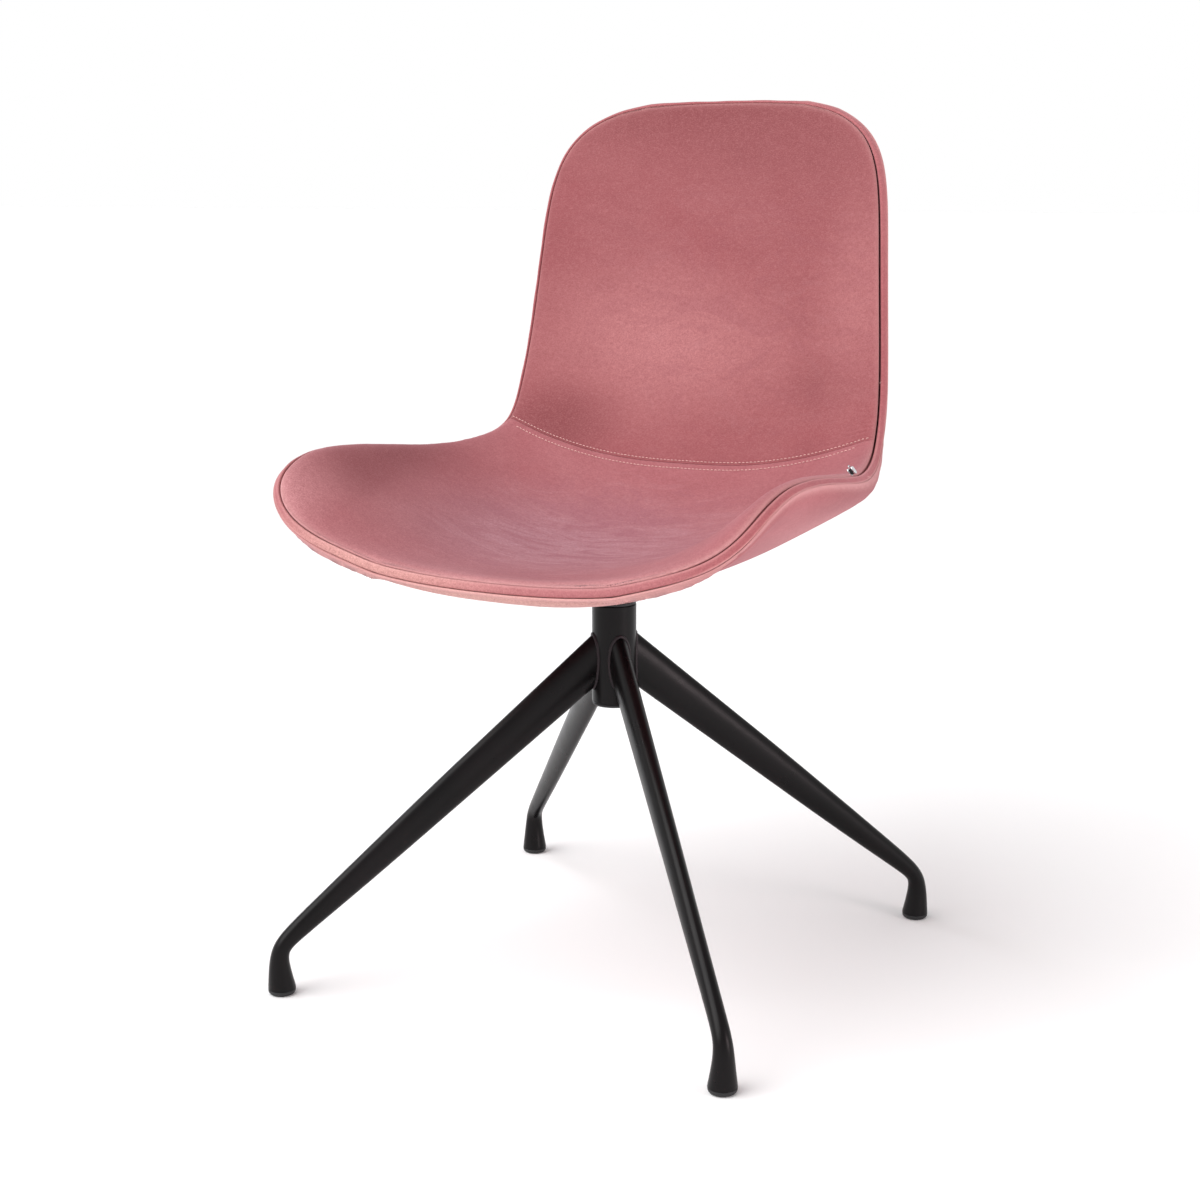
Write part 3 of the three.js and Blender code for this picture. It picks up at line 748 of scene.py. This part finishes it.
# Each panel's copy of the velvet has its own tint, which paints in light and shade: the back's copy
# is darker, the band's a little lighter, the seat's cooler.
VELVET = velvet("rose_velvet", (1.02, 1.02, 1.04), REAR_LIGHT_AND_SHADE)
BAND_VELVET = velvet("rose_velvet_band", (1.04, 0.99, 1.01), BAND_LIGHT_AND_SHADE)
BACK_VELVET = velvet(
    "rose_velvet_back", (0.77, 0.70, 0.72), BACK_LIGHT_AND_SHADE,
    ((0.05, 0.19, 0.62), (0.3, 0.3, 0.25), 0.24),
)
SEAT_VELVET = velvet(
    "rose_velvet_seat", (0.96, 1.02, 1.06), SEAT_LIGHT_AND_SHADE,
    ((-0.02, -0.03, 0.41), (0.25, 0.23, 0.14), 0.8),
)
THREAD = sewing_thread()
COAT = powder_coat("powder_coat")
# The weld beads' coat is painted lighter: a painted highlight along them.
HIGHLIT_WELD_COAT = powder_coat("weld_coat", lift=7.0)
BLACK_PLASTIC = moulded_plastic("black_plastic", (0.012, 0.012, 0.013))
NYLON = moulded_plastic("natural_nylon", (0.74, 0.72, 0.65), 0.45)
ZINC = zinc_steel("zinc_plated_steel")
SLIDER_METAL = zinc_steel("slider_metal", (0.72, 0.73, 0.76), 0.26)
PLY = plywood()


# ---- Upholstery -----------------------------------------------------------------------------

def graded(low, high, count):
    """Steps that are finer at both ends."""
    s = np.linspace(0, 1, count)
    return low + (high - low) * (s - 0.75 * np.sin(2 * math.pi * s) / (2 * math.pi))


def across(count):
    """Places across the width, -1 to 1, closer together towards the sides."""
    s = np.linspace(-1, 1, count)
    return np.sign(s) * (1 - (1 - np.abs(s)) ** 1.35)


def soft_noise(points, scale, seed):
    offset = Vector((seed, 2.3 * seed, -seed))
    flat = points.reshape(-1, 3)
    values = [noise.noise(Vector(p) * scale + offset) for p in flat]
    return np.array(values).reshape(points.shape[:-1])


def ripples(x, frequency, sway, sway_frequency):
    """Small folds of uneven width."""
    return np.sin(x * frequency + sway * np.sin(x * sway_frequency))


def front_depth(vv, uu, stitch_row):
    """How deep the shown face of a front panel lies: crowned over its padding, sunk at the rim
    and at the cross seam, dimpled along its stitches, with faint puckers and unevenness."""
    points = surface(vv, uu)
    to_rim = distance_to(points, RIM_POINTS)
    to_seam = distance_to(points, SEAM_POINTS)
    crown = np.interp(vv, *zip(*CROWN_AT)) * MM
    height = crown * (1 - fade(to_rim, CROWN_REACH)) - RIM_SINK * fade(to_rim, RIM_SINK_REACH)
    height -= np.minimum(crown, CROSS_DIP_CROWN) * CROSS_DIP_SHARE * fade(to_seam, CROSS_DIP_REACH)
    height -= SEAM_SINK * fade(to_seam, SEAM_SINK_REACH)
    height -= STITCH_DIMPLE * ridge(to_seam, stitch_row, STITCH_DIMPLE_REACH)
    pucker = ripples(uu, frequency=150, sway=3, sway_frequency=17) * (1 - fade(to_seam, MM))
    height += SEAM_PUCKER * pucker * fade(to_seam, SEAM_PUCKER_REACH)
    seam_end = ridge(np.abs(uu), 0.93, 0.07) * ridge(vv, LUMBAR_SEAM - 0.03, 0.025)
    height += SEAM_END_PUCKER * np.sin(vv * 760 + 2 * uu) * seam_end
    beside_rim = (1 - fade(to_rim, 3 * MM)) * fade(to_rim, 16 * MM)
    height += RIM_PUCKER * soft_noise(points, scale=75, seed=4.0) * beside_rim
    away_from_rim = 1 - fade(to_rim, 30 * MM)
    height += FRONT_UNEVENNESS * soft_noise(points, scale=13, seed=9.0) * away_from_rim
    return -height


def edge_rolls(depth, steps):
    """Rings (out, depth) that turn a panel's edge in: steps are (out, further down), in mm."""
    return [(out * MM, depth + down * MM) for out, down in steps]


FRONT_ROLLS = edge_rolls(RIM_SINK, [(0.35, 0.6), (0.1, 1.1), (-0.7, 1.4), (-1.6, 1.4)])


def build_front_panel(name, v, made, *replaced):
    vv, uu = np.meshgrid(v, across(GRID_COLUMNS["front"]), indexing="ij")
    uu = uu * np.interp(vv, *zip(*PAD_INSET_AT))
    depth = front_depth(vv, uu, STITCH_ROWS[name])
    inner = PAD_DEPTH * thickness(vv)
    cushion = panel(
        f"{name}_cushion", vv, uu, depth, FRONT_ROLLS, inner, made, *replaced, slot="velvet"
    )


def build_front_panels():
    back_v = graded(0.0014, LUMBAR_SEAM - SEAM_OPENING, GRID_ROWS["back"])
    build_front_panel("back", back_v, BACK_VELVET, "back_front_cover", "back_pad")
    seat_v = graded(LUMBAR_SEAM + SEAM_OPENING, 1, GRID_ROWS["seat"])
    build_front_panel("seat", seat_v, SEAT_VELVET, "seat_front_cover", "seat_pad")


def rounded_section(points, passes):
    """A closed outline with its corners cut again and again until they're round."""
    p = np.asarray(points, float)
    for _ in range(passes):
        ahead = np.roll(p, -1, 0)
        p = np.stack([0.75 * p + 0.25 * ahead, 0.25 * p + 0.75 * ahead], 1).reshape(-1, 2)
    return p


def build_edge_band():
    """The band between the front and rear covers: a soft crowned face with an open groove
    between it and the pad, which shows from the front along the back and from the side along
    the seat. At its rear seam the cloth flares out, except under the front edge. Along the flare
    and along the band's front edge round the seat the pile is paler, where the seam parts it,
    with a painted highlight on these ridges."""
    raised, flared, tucked = (
        rounded_section(MM * np.array(BAND_OUTLINES[part]), 2)
        for part in ("raised", "flared", "tucked")
    )
    turns = np.arange(RIM_STATIONS) * 2 * math.pi / RIM_STATIONS
    wander = 1 + sum(share * np.sin(waves * turns) for share, waves in BAND_WANDER)
    front = ease(*BAND_TUCKED_FROM, RIM_V)
    back = 1 - ease(*BAND_RAISED_TO, RIM_V)
    sections = [
        (raised * b + flared * (1 - b - f) + tucked * f) * [w, 1]
        for b, f, w in zip(back, front, wander)
    ]
    out, depth = flared.T
    # Paler lines at the band's front edge and its flared rear seam: pile parts there, and a painted
    # highlight on these ridges.
    front_edge = 0.5 * ridge(depth, middle=5.0 * MM, reach=0.9 * MM)
    flare = ridge(depth, middle=11.3 * MM, reach=0.8 * MM) * (out > 2.2 * MM)
    seam_pale_and_lit = (1 - back)[:, None] * front_edge + (1 - front)[:, None] * flare
    frames = (RIM_POINTS, RIM_OUT, RIM_NORMALS)
    swept(
        "edge_band_piping", frames, sections, BAND_VELVET, "seat", "edge_band", slot="velvet",
        seam_pale_and_lit=seam_pale_and_lit.reshape(-1),
    )


SIDE_ROLLS = edge_rolls(REAR_EDGE, [(1.3, -0.3), (2.5, -0.6)]) + edge_rolls(
    BAND_DEPTH, [(3.3, 1.2), (3.7, 0.7), (3.3, 0.25), (1.4, 0.2), (-1.4, 0.2)]
)
UNDER_ROLLS = edge_rolls(REAR_EDGE, [(1.6, 0.6), (2.9, -0.2)]) + edge_rolls(
    BAND_DEPTH, [(3.3, 1.4), (3.0, 0.6), (2.1, 0.1), (0.9, 0), (-1.4, 0)]
)


def rear_depth(vv, uu):
    """How deep the rear covers' face lies: rounded up to the band's seam, fuller at the waist,
    pinched along the under seam, with soft gathers at the waist."""
    points = surface(vv, uu)
    to_rim = distance_to(points, RIM_POINTS)
    to_seam = distance_to(points, surface(UNDER_SEAM, np.linspace(-1, 1, 400)))
    side = np.abs(uu)
    corner = ridge(vv, 0.47, 0.09) * ridge(side, 1, 0.4)
    full = thickness(vv) + WAIST_FULLNESS * corner
    edge = REAR_EDGE + WAIST_EDGE_SHARE * WAIST_FULLNESS * corner
    depth = edge + (full - edge) * (1 - fade(to_rim, REAR_ROUNDING))
    depth -= (UNDER_PINCH + UNDER_PINCH_SIDES * side**6) * fade(to_seam, UNDER_PINCH_REACH)
    hump = ridge(to_seam, 17 * MM, 11 * MM) * (vv > UNDER_SEAM)
    depth += UNDER_HUMP * hump * side**8
    gathers = ripples(vv, frequency=420, sway=2.5, sway_frequency=60) * ridge(vv, 0.52, 0.09)
    depth += WAIST_GATHER * gathers * fade(to_rim, 22 * MM) * (1 - fade(to_rim, 3 * MM))
    away_from_rim = 1 - fade(to_rim, 25 * MM)
    depth += REAR_UNEVENNESS * soft_noise(points, scale=12, seed=31.0) * away_from_rim
    return depth


def build_rear_cover(name, v, rolls, node):
    vv, uu = np.meshgrid(v, across(GRID_COLUMNS["rear"]), indexing="ij")
    depth = rear_depth(vv, uu)
    panel(name, vv, uu, depth, rolls, depth - FABRIC, VELVET, node, slot="velvet")


def build_rear_covers():
    rear_v = graded(0, UNDER_SEAM - SEAM_OPENING, GRID_ROWS["rear"])
    build_rear_cover("rear_cover_shell", rear_v, SIDE_ROLLS, "rear_cover")
    strip_v = graded(UNDER_SEAM + SEAM_OPENING, 1, GRID_ROWS["strip"])
    build_rear_cover("under_strip", strip_v, UNDER_ROLLS, "front_under_strip")


def build_shell_core():
    """The moulded shell between the pads and the rear covers, set back from the rim."""
    v = graded(0.006, 0.994, GRID_ROWS["core"])
    vv, uu = np.meshgrid(v, across(GRID_COLUMNS["core"]) * CORE_WIDTH, indexing="ij")
    front, rear = (share * thickness(vv) for share in CORE_DEPTHS)
    panel("shell_core", vv, uu, front, [], rear, PLY, "moulded_shell", slot="plywood")


def stitch_capsule(centre, run, normal):
    """A short stitch: a thread that dips into the cloth at both ends."""
    side = np.cross(run, normal)
    stations, sides = 9, 8
    rings = []
    for s in np.linspace(-1, 1, stations):
        r = STITCH_RADIUS * math.sqrt(max(0.02, 1 - abs(s) ** 3))
        rise = STITCH_RADIUS * (0.75 - 1.3 * s * s)
        middle = centre + run * s * STITCH_LENGTH / 2 + normal * rise
        for a in np.linspace(0, 2 * math.pi, sides, endpoint=False):
            rings.append(middle + r * (math.cos(a) * side + math.sin(a) * normal))
    return rings, tube_faces(stations, sides)


def build_stitch_row(name, sign):
    """Single stitches at even steps beside the cross seam, on the side that sign gives."""
    u = np.linspace(-STITCH_ENDS[name], STITCH_ENDS[name], 3000)
    away = STITCH_ROWS[name]
    step = 0.001
    slope = np.linalg.norm(
        surface(LUMBAR_SEAM + step, u) - surface(LUMBAR_SEAM - step, u), axis=-1
    ) / (2 * step)
    v = LUMBAR_SEAM + sign * away / slope
    points = surface(v, u)
    steps = np.linalg.norm(np.diff(points, axis=0), axis=1)
    run_length = np.concatenate([[0], np.cumsum(steps)])
    count = int(run_length[-1] / STITCH_PITCH)
    at = np.interp((np.arange(count) + 0.5) * STITCH_PITCH, run_length, u)
    vertices, faces = [], []
    for place in at:
        sample = int(np.argmin(np.abs(u - place)))
        one_v, one_u = v[sample:sample + 1], u[sample:sample + 1]
        depth = front_depth(one_v, one_u, away)[0]
        normal = surface_normal(one_v, one_u)[0]
        centre = surface(one_v, one_u)[0] - (depth - STITCH_RADIUS / 2) * normal
        run = unit(points[min(sample + 4, len(points) - 1)] - points[max(sample - 4, 0)])
        ring, quads = stitch_capsule(centre, run, normal)
        faces += shifted(quads, len(vertices))
        vertices += ring
    new_piece(f"lumbar_stitches_{name}", vertices, faces, THREAD, "seat", slot="velvet")


def build_upholstery():
    build_shell_core()
    build_front_panels()
    build_edge_band()
    build_rear_covers()
    build_stitch_row("back", -1)
    build_stitch_row("seat", 1)


# ---- Base -----------------------------------------------------------------------------------

def leg_rings(t, sides):
    """The leg's oval sections in its own upright plane, at parameters t."""
    sections = spline(LEG, t)
    ahead, behind = spline(LEG, t + 0.01), spline(LEG, t - 0.01)
    tilt = np.arctan2(ahead[:, 1] - behind[:, 1], ahead[:, 0] - behind[:, 0])
    angle = np.linspace(0, 2 * math.pi, sides, endpoint=False)
    up = np.outer(sections[:, 2], np.cos(angle))
    side = np.outer(sections[:, 3], np.sin(angle))
    x = sections[:, :1] - np.sin(tilt)[:, None] * up
    z = sections[:, 1:2] + np.cos(tilt)[:, None] * up
    return np.stack([x, side, z], -1)


def root_ring(outer, inner):
    """Where the lines from one ring through the next meet the hub."""
    step = inner - outer
    a = np.sum(step[:, :2] ** 2, 1)
    b = 2 * np.sum(outer[:, :2] * step[:, :2], 1)
    c = np.sum(outer[:, :2] ** 2, 1) - (HUB_RADIUS - ROOT_OVERLAP) ** 2
    share = (-b - np.sqrt(b * b - 4 * a * c)) / (2 * a)
    return outer + share[:, None] * step


def build_leg(corner, azimuth):
    turn = Matrix.Rotation(azimuth, 4, "Z")
    rings = leg_rings(np.linspace(LEG_START, 1, 110), LEG_SIDES)
    rings[-1, :, 2] = LEG[-1, 1]
    root = root_ring(rings[1], rings[0])
    lead = [root + (rings[0] - root) * s for s in np.linspace(0, 1, 14)[:-1]]
    points = np.vstack([*lead, *rings])
    faces = tube_faces(len(lead) + len(rings), LEG_SIDES)
    placed = [turn @ Vector(p) for p in points]
    leg = new_piece(
        f"tapered_leg_{corner}", placed, faces, COAT, "base", f"leg_{corner}", slot="coated_steel",
    )
    bevelled(leg, 0.8 * MM)
    bead = [turn @ Vector(p) for p in smooth_loop(root, 2)]
    weld = thread(
        f"weld_bead_{corner}", bead, WELD_RADIUS, HIGHLIT_WELD_COAT, "base", closed=True,
        ripple=WELD_RIPPLE,
    )


def build_glide(corner, azimuth):
    centre = (GLIDE_REACH * math.cos(azimuth), GLIDE_REACH * math.sin(azimuth))
    flat = GLIDE_RADIUS - GLIDE_ROUNDING
    rounding = [
        (flat + GLIDE_ROUNDING * math.sin(a), GLIDE_ROUNDING * (1 - math.cos(a)))
        for a in np.linspace(0.08, math.pi / 2, 9)
    ]
    stem, stem_top = GLIDE_STEM
    profile = [(AXIS_RADIUS, 0)] + rounding + [
        (GLIDE_RADIUS, GLIDE_HEIGHT - 0.3), (GLIDE_RADIUS - 0.4, GLIDE_HEIGHT),
        (stem, GLIDE_HEIGHT), (stem, stem_top), (AXIS_RADIUS, stem_top),
    ]
    turned(
        f"foot_glide_{corner}", profile, BLACK_PLASTIC, "base", f"glide_{corner}", at=centre,
        slot="black_plastic",
    )


def build_hub():
    inner, outer = HUB_BORE, HUB_RADIUS / MM
    bottom, top = HUB_HEIGHTS
    tube = [
        (inner, bottom), (outer - HUB_CHAMFER, bottom), (outer, bottom + HUB_CHAMFER),
        (outer, top - HUB_CHAMFER), (outer - HUB_CHAMFER, top), (inner, top), (inner, bottom),
    ]
    sleeve = turned("hub_sleeve", tube, COAT, "base", "hub_tube", segments=96, slot="coated_steel")
    bevelled(sleeve, 0.2 * MM)
    turned(
        "hub_plug", PLUG_PROFILE, BLACK_PLASTIC, "base", "hub_end_cap", slot="black_plastic"
    )


def build_base():
    build_hub()
    for corner, degrees in LEG_AZIMUTHS.items():
        build_leg(corner, math.radians(degrees))
        build_glide(corner, math.radians(degrees))


# ---- Swivel and mounting --------------------------------------------------------------------

def washer(name, node, outer, made, body, slot):
    """A plain ring round the spindle, as high as the CAD node it stands for."""
    low, high = node_heights(node)
    inner = SPINDLE_BORE
    profile = [(inner, low), (outer, low), (outer, high), (inner, high), (inner, low)]
    bevelled(turned(name, profile, made, body, node, slot=slot), 0.3 * MM)


def node_heights(node):
    low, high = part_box(node)
    return low[2] / MM, high[2] / MM


def build_swivel():
    washer("glide_ring", "thrust_washer", WASHER_RADIUS, NYLON, "base", "nylon")
    washer("wear_ring", "wear_washer", WASHER_RADIUS, ZINC, "seat", "steel")
    washer("lower_sleeve", "lower_bush", BUSH_RADIUS, NYLON, "base", "nylon")
    washer("retainer_ring", "retaining_washer", RETAINER_RADIUS, ZINC, "seat", "steel")
    build_upper_bush()
    build_spindle()
    recolour("retaining_clip", ZINC)


def build_upper_bush():
    """The flanged bush at the top of the hub."""
    low, high = node_heights("upper_bush")
    flange = high - FLANGE_HEIGHT
    sleeve = [
        (SPINDLE_BORE, low), (BUSH_RADIUS, low), (BUSH_RADIUS, flange), (FLANGE_RADIUS, flange),
        (FLANGE_RADIUS, high), (SPINDLE_BORE, high), (SPINDLE_BORE, low),
    ]
    upper = turned("upper_sleeve", sleeve, BLACK_PLASTIC, "base", "upper_bush", slot="black_plastic")
    bevelled(upper, 0.3 * MM)


def build_spindle():
    """The turning shaft, with a groove for its clip and a collar under the plate."""
    low, high = node_heights("spindle")
    collar_low = node_heights("wear_washer")[1] + COLLAR_GAP
    collar_high = node_heights("mounting_plate")[0] - COLLAR_GAP
    groove_low, groove_high = low + 4, low + 6
    shaft = [
        (AXIS_RADIUS, low), (SPINDLE_RADIUS - 1, low), (SPINDLE_RADIUS, low + 1),
        (SPINDLE_RADIUS, groove_low), (CLIP_GROOVE, groove_low), (CLIP_GROOVE, groove_high),
        (SPINDLE_RADIUS, groove_high), (SPINDLE_RADIUS, collar_low), (COLLAR_RADIUS, collar_low),
        (COLLAR_RADIUS, collar_high), (SPINDLE_RADIUS, collar_high), (SPINDLE_RADIUS, high),
        (AXIS_RADIUS, high),
    ]
    bevelled(turned("swivel_spindle", shaft, ZINC, "seat", "spindle", slot="steel"), 0.3 * MM)


def build_bolt(number):
    """A button-head bolt with its socket below, as high as the CAD node it stands for."""
    low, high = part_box(f"plate_bolt_{number}")
    x, y = (low[0] + high[0]) / 2, (low[1] + high[1]) / 2
    bottom, top = low[2] / MM, high[2] / MM
    socket, socket_depth = BOLT_SOCKET
    profile = [
        (AXIS_RADIUS, bottom + socket_depth), (socket, bottom + socket_depth), (socket, bottom),
        *((radius, bottom + height) for radius, height in BOLT_DOME),
        (BOLT_SHANK, bottom + BOLT_DOME[-1][1]), (BOLT_SHANK, top - BOLT_CHAMFER),
        (BOLT_SHANK - BOLT_CHAMFER, top), (AXIS_RADIUS, top),
    ]
    turned(
        f"button_bolt_{number}", profile, ZINC, "seat", f"plate_bolt_{number}", at=(x, y),
        segments=48, slot="steel",
    )


def build_plate():
    """The square plate with rounded corners."""
    low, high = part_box("mounting_plate")
    outline = []
    for i, (sx, sy) in enumerate([(1, 1), (-1, 1), (-1, -1), (1, -1)]):
        cx = (high[0] if sx > 0 else low[0]) - sx * PLATE_CORNER
        cy = (high[1] if sy > 0 else low[1]) - sy * PLATE_CORNER
        for a in np.linspace(i * math.pi / 2, (i + 1) * math.pi / 2, 13):
            outline.append((cx + PLATE_CORNER * math.cos(a), cy + PLATE_CORNER * math.sin(a)))
    vertices = [(x, y, z) for z in (low[2], high[2]) for x, y in outline]
    faces = tube_faces(2, len(outline))
    plate = new_piece(
        "swivel_plate", vertices, faces, COAT, "seat", "mounting_plate", slot="coated_steel"
    )
    bevelled(plate, 0.8 * MM)


def recolour(node, made):
    """Gives a carried-over CAD node its material."""
    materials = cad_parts[node].data.materials
    materials.clear()
    materials.append(made)


def build_mounting():
    build_plate()
    for number in range(1, 5):
        build_bolt(number)
        recolour(f"spacer_bush_{number}", BLACK_PLASTIC)
        recolour(f"threaded_insert_{number}", ZINC)


# ---- Zip slider and loose threads -----------------------------------------------------------

def rim_frame(v):
    """Place and directions at the sitter's left side of the rim: along it, out of it, and up."""
    index = int(np.argmin(np.abs(RIM_V - v) + 10 * (RIM_U < 0.999)))
    run = unit(RIM_POINTS[(index + 1) % len(RIM_POINTS)] - RIM_POINTS[index - 1])
    return RIM_POINTS[index], run, RIM_OUT[index], RIM_NORMALS[index]


def slider_piece(name, blocks, made, *replaced):
    """Flat blocks at the zip's place: each has an outline (along, up) in millimetres and the
    heights out of the rim between which it stands."""
    place, run, out, normal = rim_frame(ZIP_AT)
    vertices, faces = [], []
    for outline, low, high in blocks:
        faces += shifted(tube_faces(2, len(outline)), len(vertices))
        for height in (low, high):
            for along, up in outline:
                vertices.append(place + MM * (along * run + height * out + up * normal))
    piece = new_piece(name, vertices, faces, made, "seat", *replaced, slot="steel")
    return bevelled(piece, 0.25 * MM)


def build_zip_slider():
    """Two shield-shaped plates with a black block between them that paints in the shade of the gap,
    and a wire bail over them.
    """
    shield = rounded_section(SLIDER_SHIELD, 1)
    plates = [(shield, low, high) for low, high in SLIDER_PLATES]
    slider_piece("zip_slider_body", plates, SLIDER_METAL, "zip_slider")
    # A black block fills the gap between the plates: painted shade.
    channel = (SLIDER_GAP_SHADE, SLIDER_PLATES[0][1], SLIDER_PLATES[1][0])
    slider_piece("zip_slider_gap_shade", [channel], BLACK_PLASTIC)
    place, run, out, normal = rim_frame(ZIP_AT)
    angle = np.linspace(0, math.pi, 17)[:, None]
    along = BAIL["half_width"] * np.cos(angle) * run
    rise = BAIL["foot"] + BAIL["rise"] * np.sin(angle)
    bail = place + MM * (along + BAIL["out"] * out + rise * normal)
    thread("zip_slider_bail", bail, BAIL_WIRE, SLIDER_METAL, "seat")


def build_thread_tail(name, v, start_out, start_depth, drop):
    """A short thread end left at one of the band's seams."""
    place, run, out, normal = rim_frame(v)
    s = np.linspace(0, 1, 10)[:, None]
    start = place + start_out * out - start_depth * normal
    curl = np.sin(s * 5) * run * 0.8 * MM
    path = start + s * drop * out * 0.5 - s**2 * drop * normal * 0.4 + curl
    thread(name, path, TAIL_THREAD, THREAD, "seat", sides=6)


def build_thread_tails():
    build_thread_tail("thread_tail_back", 5.55 / 16, 0.4 * MM, 0.5 * MM, 3 * MM)
    build_thread_tail("thread_tail_waist", 8.9 / 16, 2.6 * MM, 9 * MM, 5 * MM)


# ---- Studio ---------------------------------------------------------------------------------

def build_studio():
    build_floor()
    build_world()
    build_lamps()


def build_floor():
    """A plain white floor, wide enough to meet the horizon."""
    mesh = bpy.data.meshes.new("floor")
    corners = [(x * FLOOR_HALF, y * FLOOR_HALF, 0) for x, y in ((-1, -1), (1, -1), (1, 1), (-1, 1))]
    mesh.from_pydata(corners, [], [(0, 1, 2, 3)])
    made, tree, shader = material("studio_floor", Roughness=0.9, Specular_IOR_Level=0.1)
    tone = noise_value(tree, 3, 2)
    shade = mix(tree, tone, (0.93, 0.93, 0.93, 1), (0.95, 0.95, 0.95, 1))
    connect(tree, shader, Base_Color=shade)
    mesh.materials.append(made)
    add_object("floor", mesh)


def build_world():
    world = bpy.data.worlds.new("studio")
    bpy.context.scene.world = world
    world.use_nodes = True
    tree = world.node_tree
    place = add_node(tree, "ShaderNodeTexCoord").outputs["Generated"]
    height = add_node(tree, "ShaderNodeSeparateXYZ", {"Vector": place}).outputs["Z"]
    strength = spread(tree, height, *WORLD_FADE, 1.0, WORLD_OVERHEAD)
    tree.links.new(strength, tree.nodes["Background"].inputs["Strength"])
    tree.nodes["Background"].inputs["Color"].default_value = (1, 1, 1, 1)


def build_lamps():
    """A large soft sun, a softbox ahead on the sitter's right, and a low lamp at each side."""
    add_lamp("soft_sun", "SUN", SUN_PLACE, SUN_STRENGTH, angle=SUN_ANGLE)
    add_lamp("softbox", "AREA", SOFTBOX_PLACE, SOFTBOX_WATTS, size=SOFTBOX_SIZE)
    wide, high = SIDE_LAMP_SIZE
    for name, place, tint, watts in SIDE_LAMPS:
        holder = add_lamp(
            name, "AREA", place, watts, shape="RECTANGLE", size=wide, size_y=high, color=tint
        )
        holder.visible_camera = False


def add_lamp(name, kind, place, energy, **settings):
    """A lamp at a place, turned to the point that the camera looks at."""
    lamp = bpy.data.lights.new(name, kind)
    lamp.energy = energy
    for key, value in settings.items():
        setattr(lamp, key, value)
    holder = add_object(name, lamp)
    holder.location = place
    holder.rotation_euler = (LOOK_AT - Vector(place)).to_track_quat("-Z", "Y").to_euler()
    return holder


def build_camera():
    camera = bpy.data.cameras.new("camera")
    camera.lens = LENS_MM
    camera.sensor_width = SENSOR_MM
    camera.shift_x = SHIFT_X
    holder = add_object("camera", camera)
    flat = math.cos(VIEW_ELEVATION)
    back = Vector((
        math.sin(VIEW_AZIMUTH) * flat, -math.cos(VIEW_AZIMUTH) * flat, math.sin(VIEW_ELEVATION),
    ))
    holder.location = LOOK_AT + VIEW_DISTANCE * back
    holder.rotation_euler = back.to_track_quat("Z", "Y").to_euler()
    bpy.context.scene.camera = holder


build_upholstery()
build_base()
build_swivel()
build_mounting()
build_zip_slider()
build_thread_tails()
build_studio()
build_camera()

bpy.context.scene.view_settings.view_transform = "Standard"
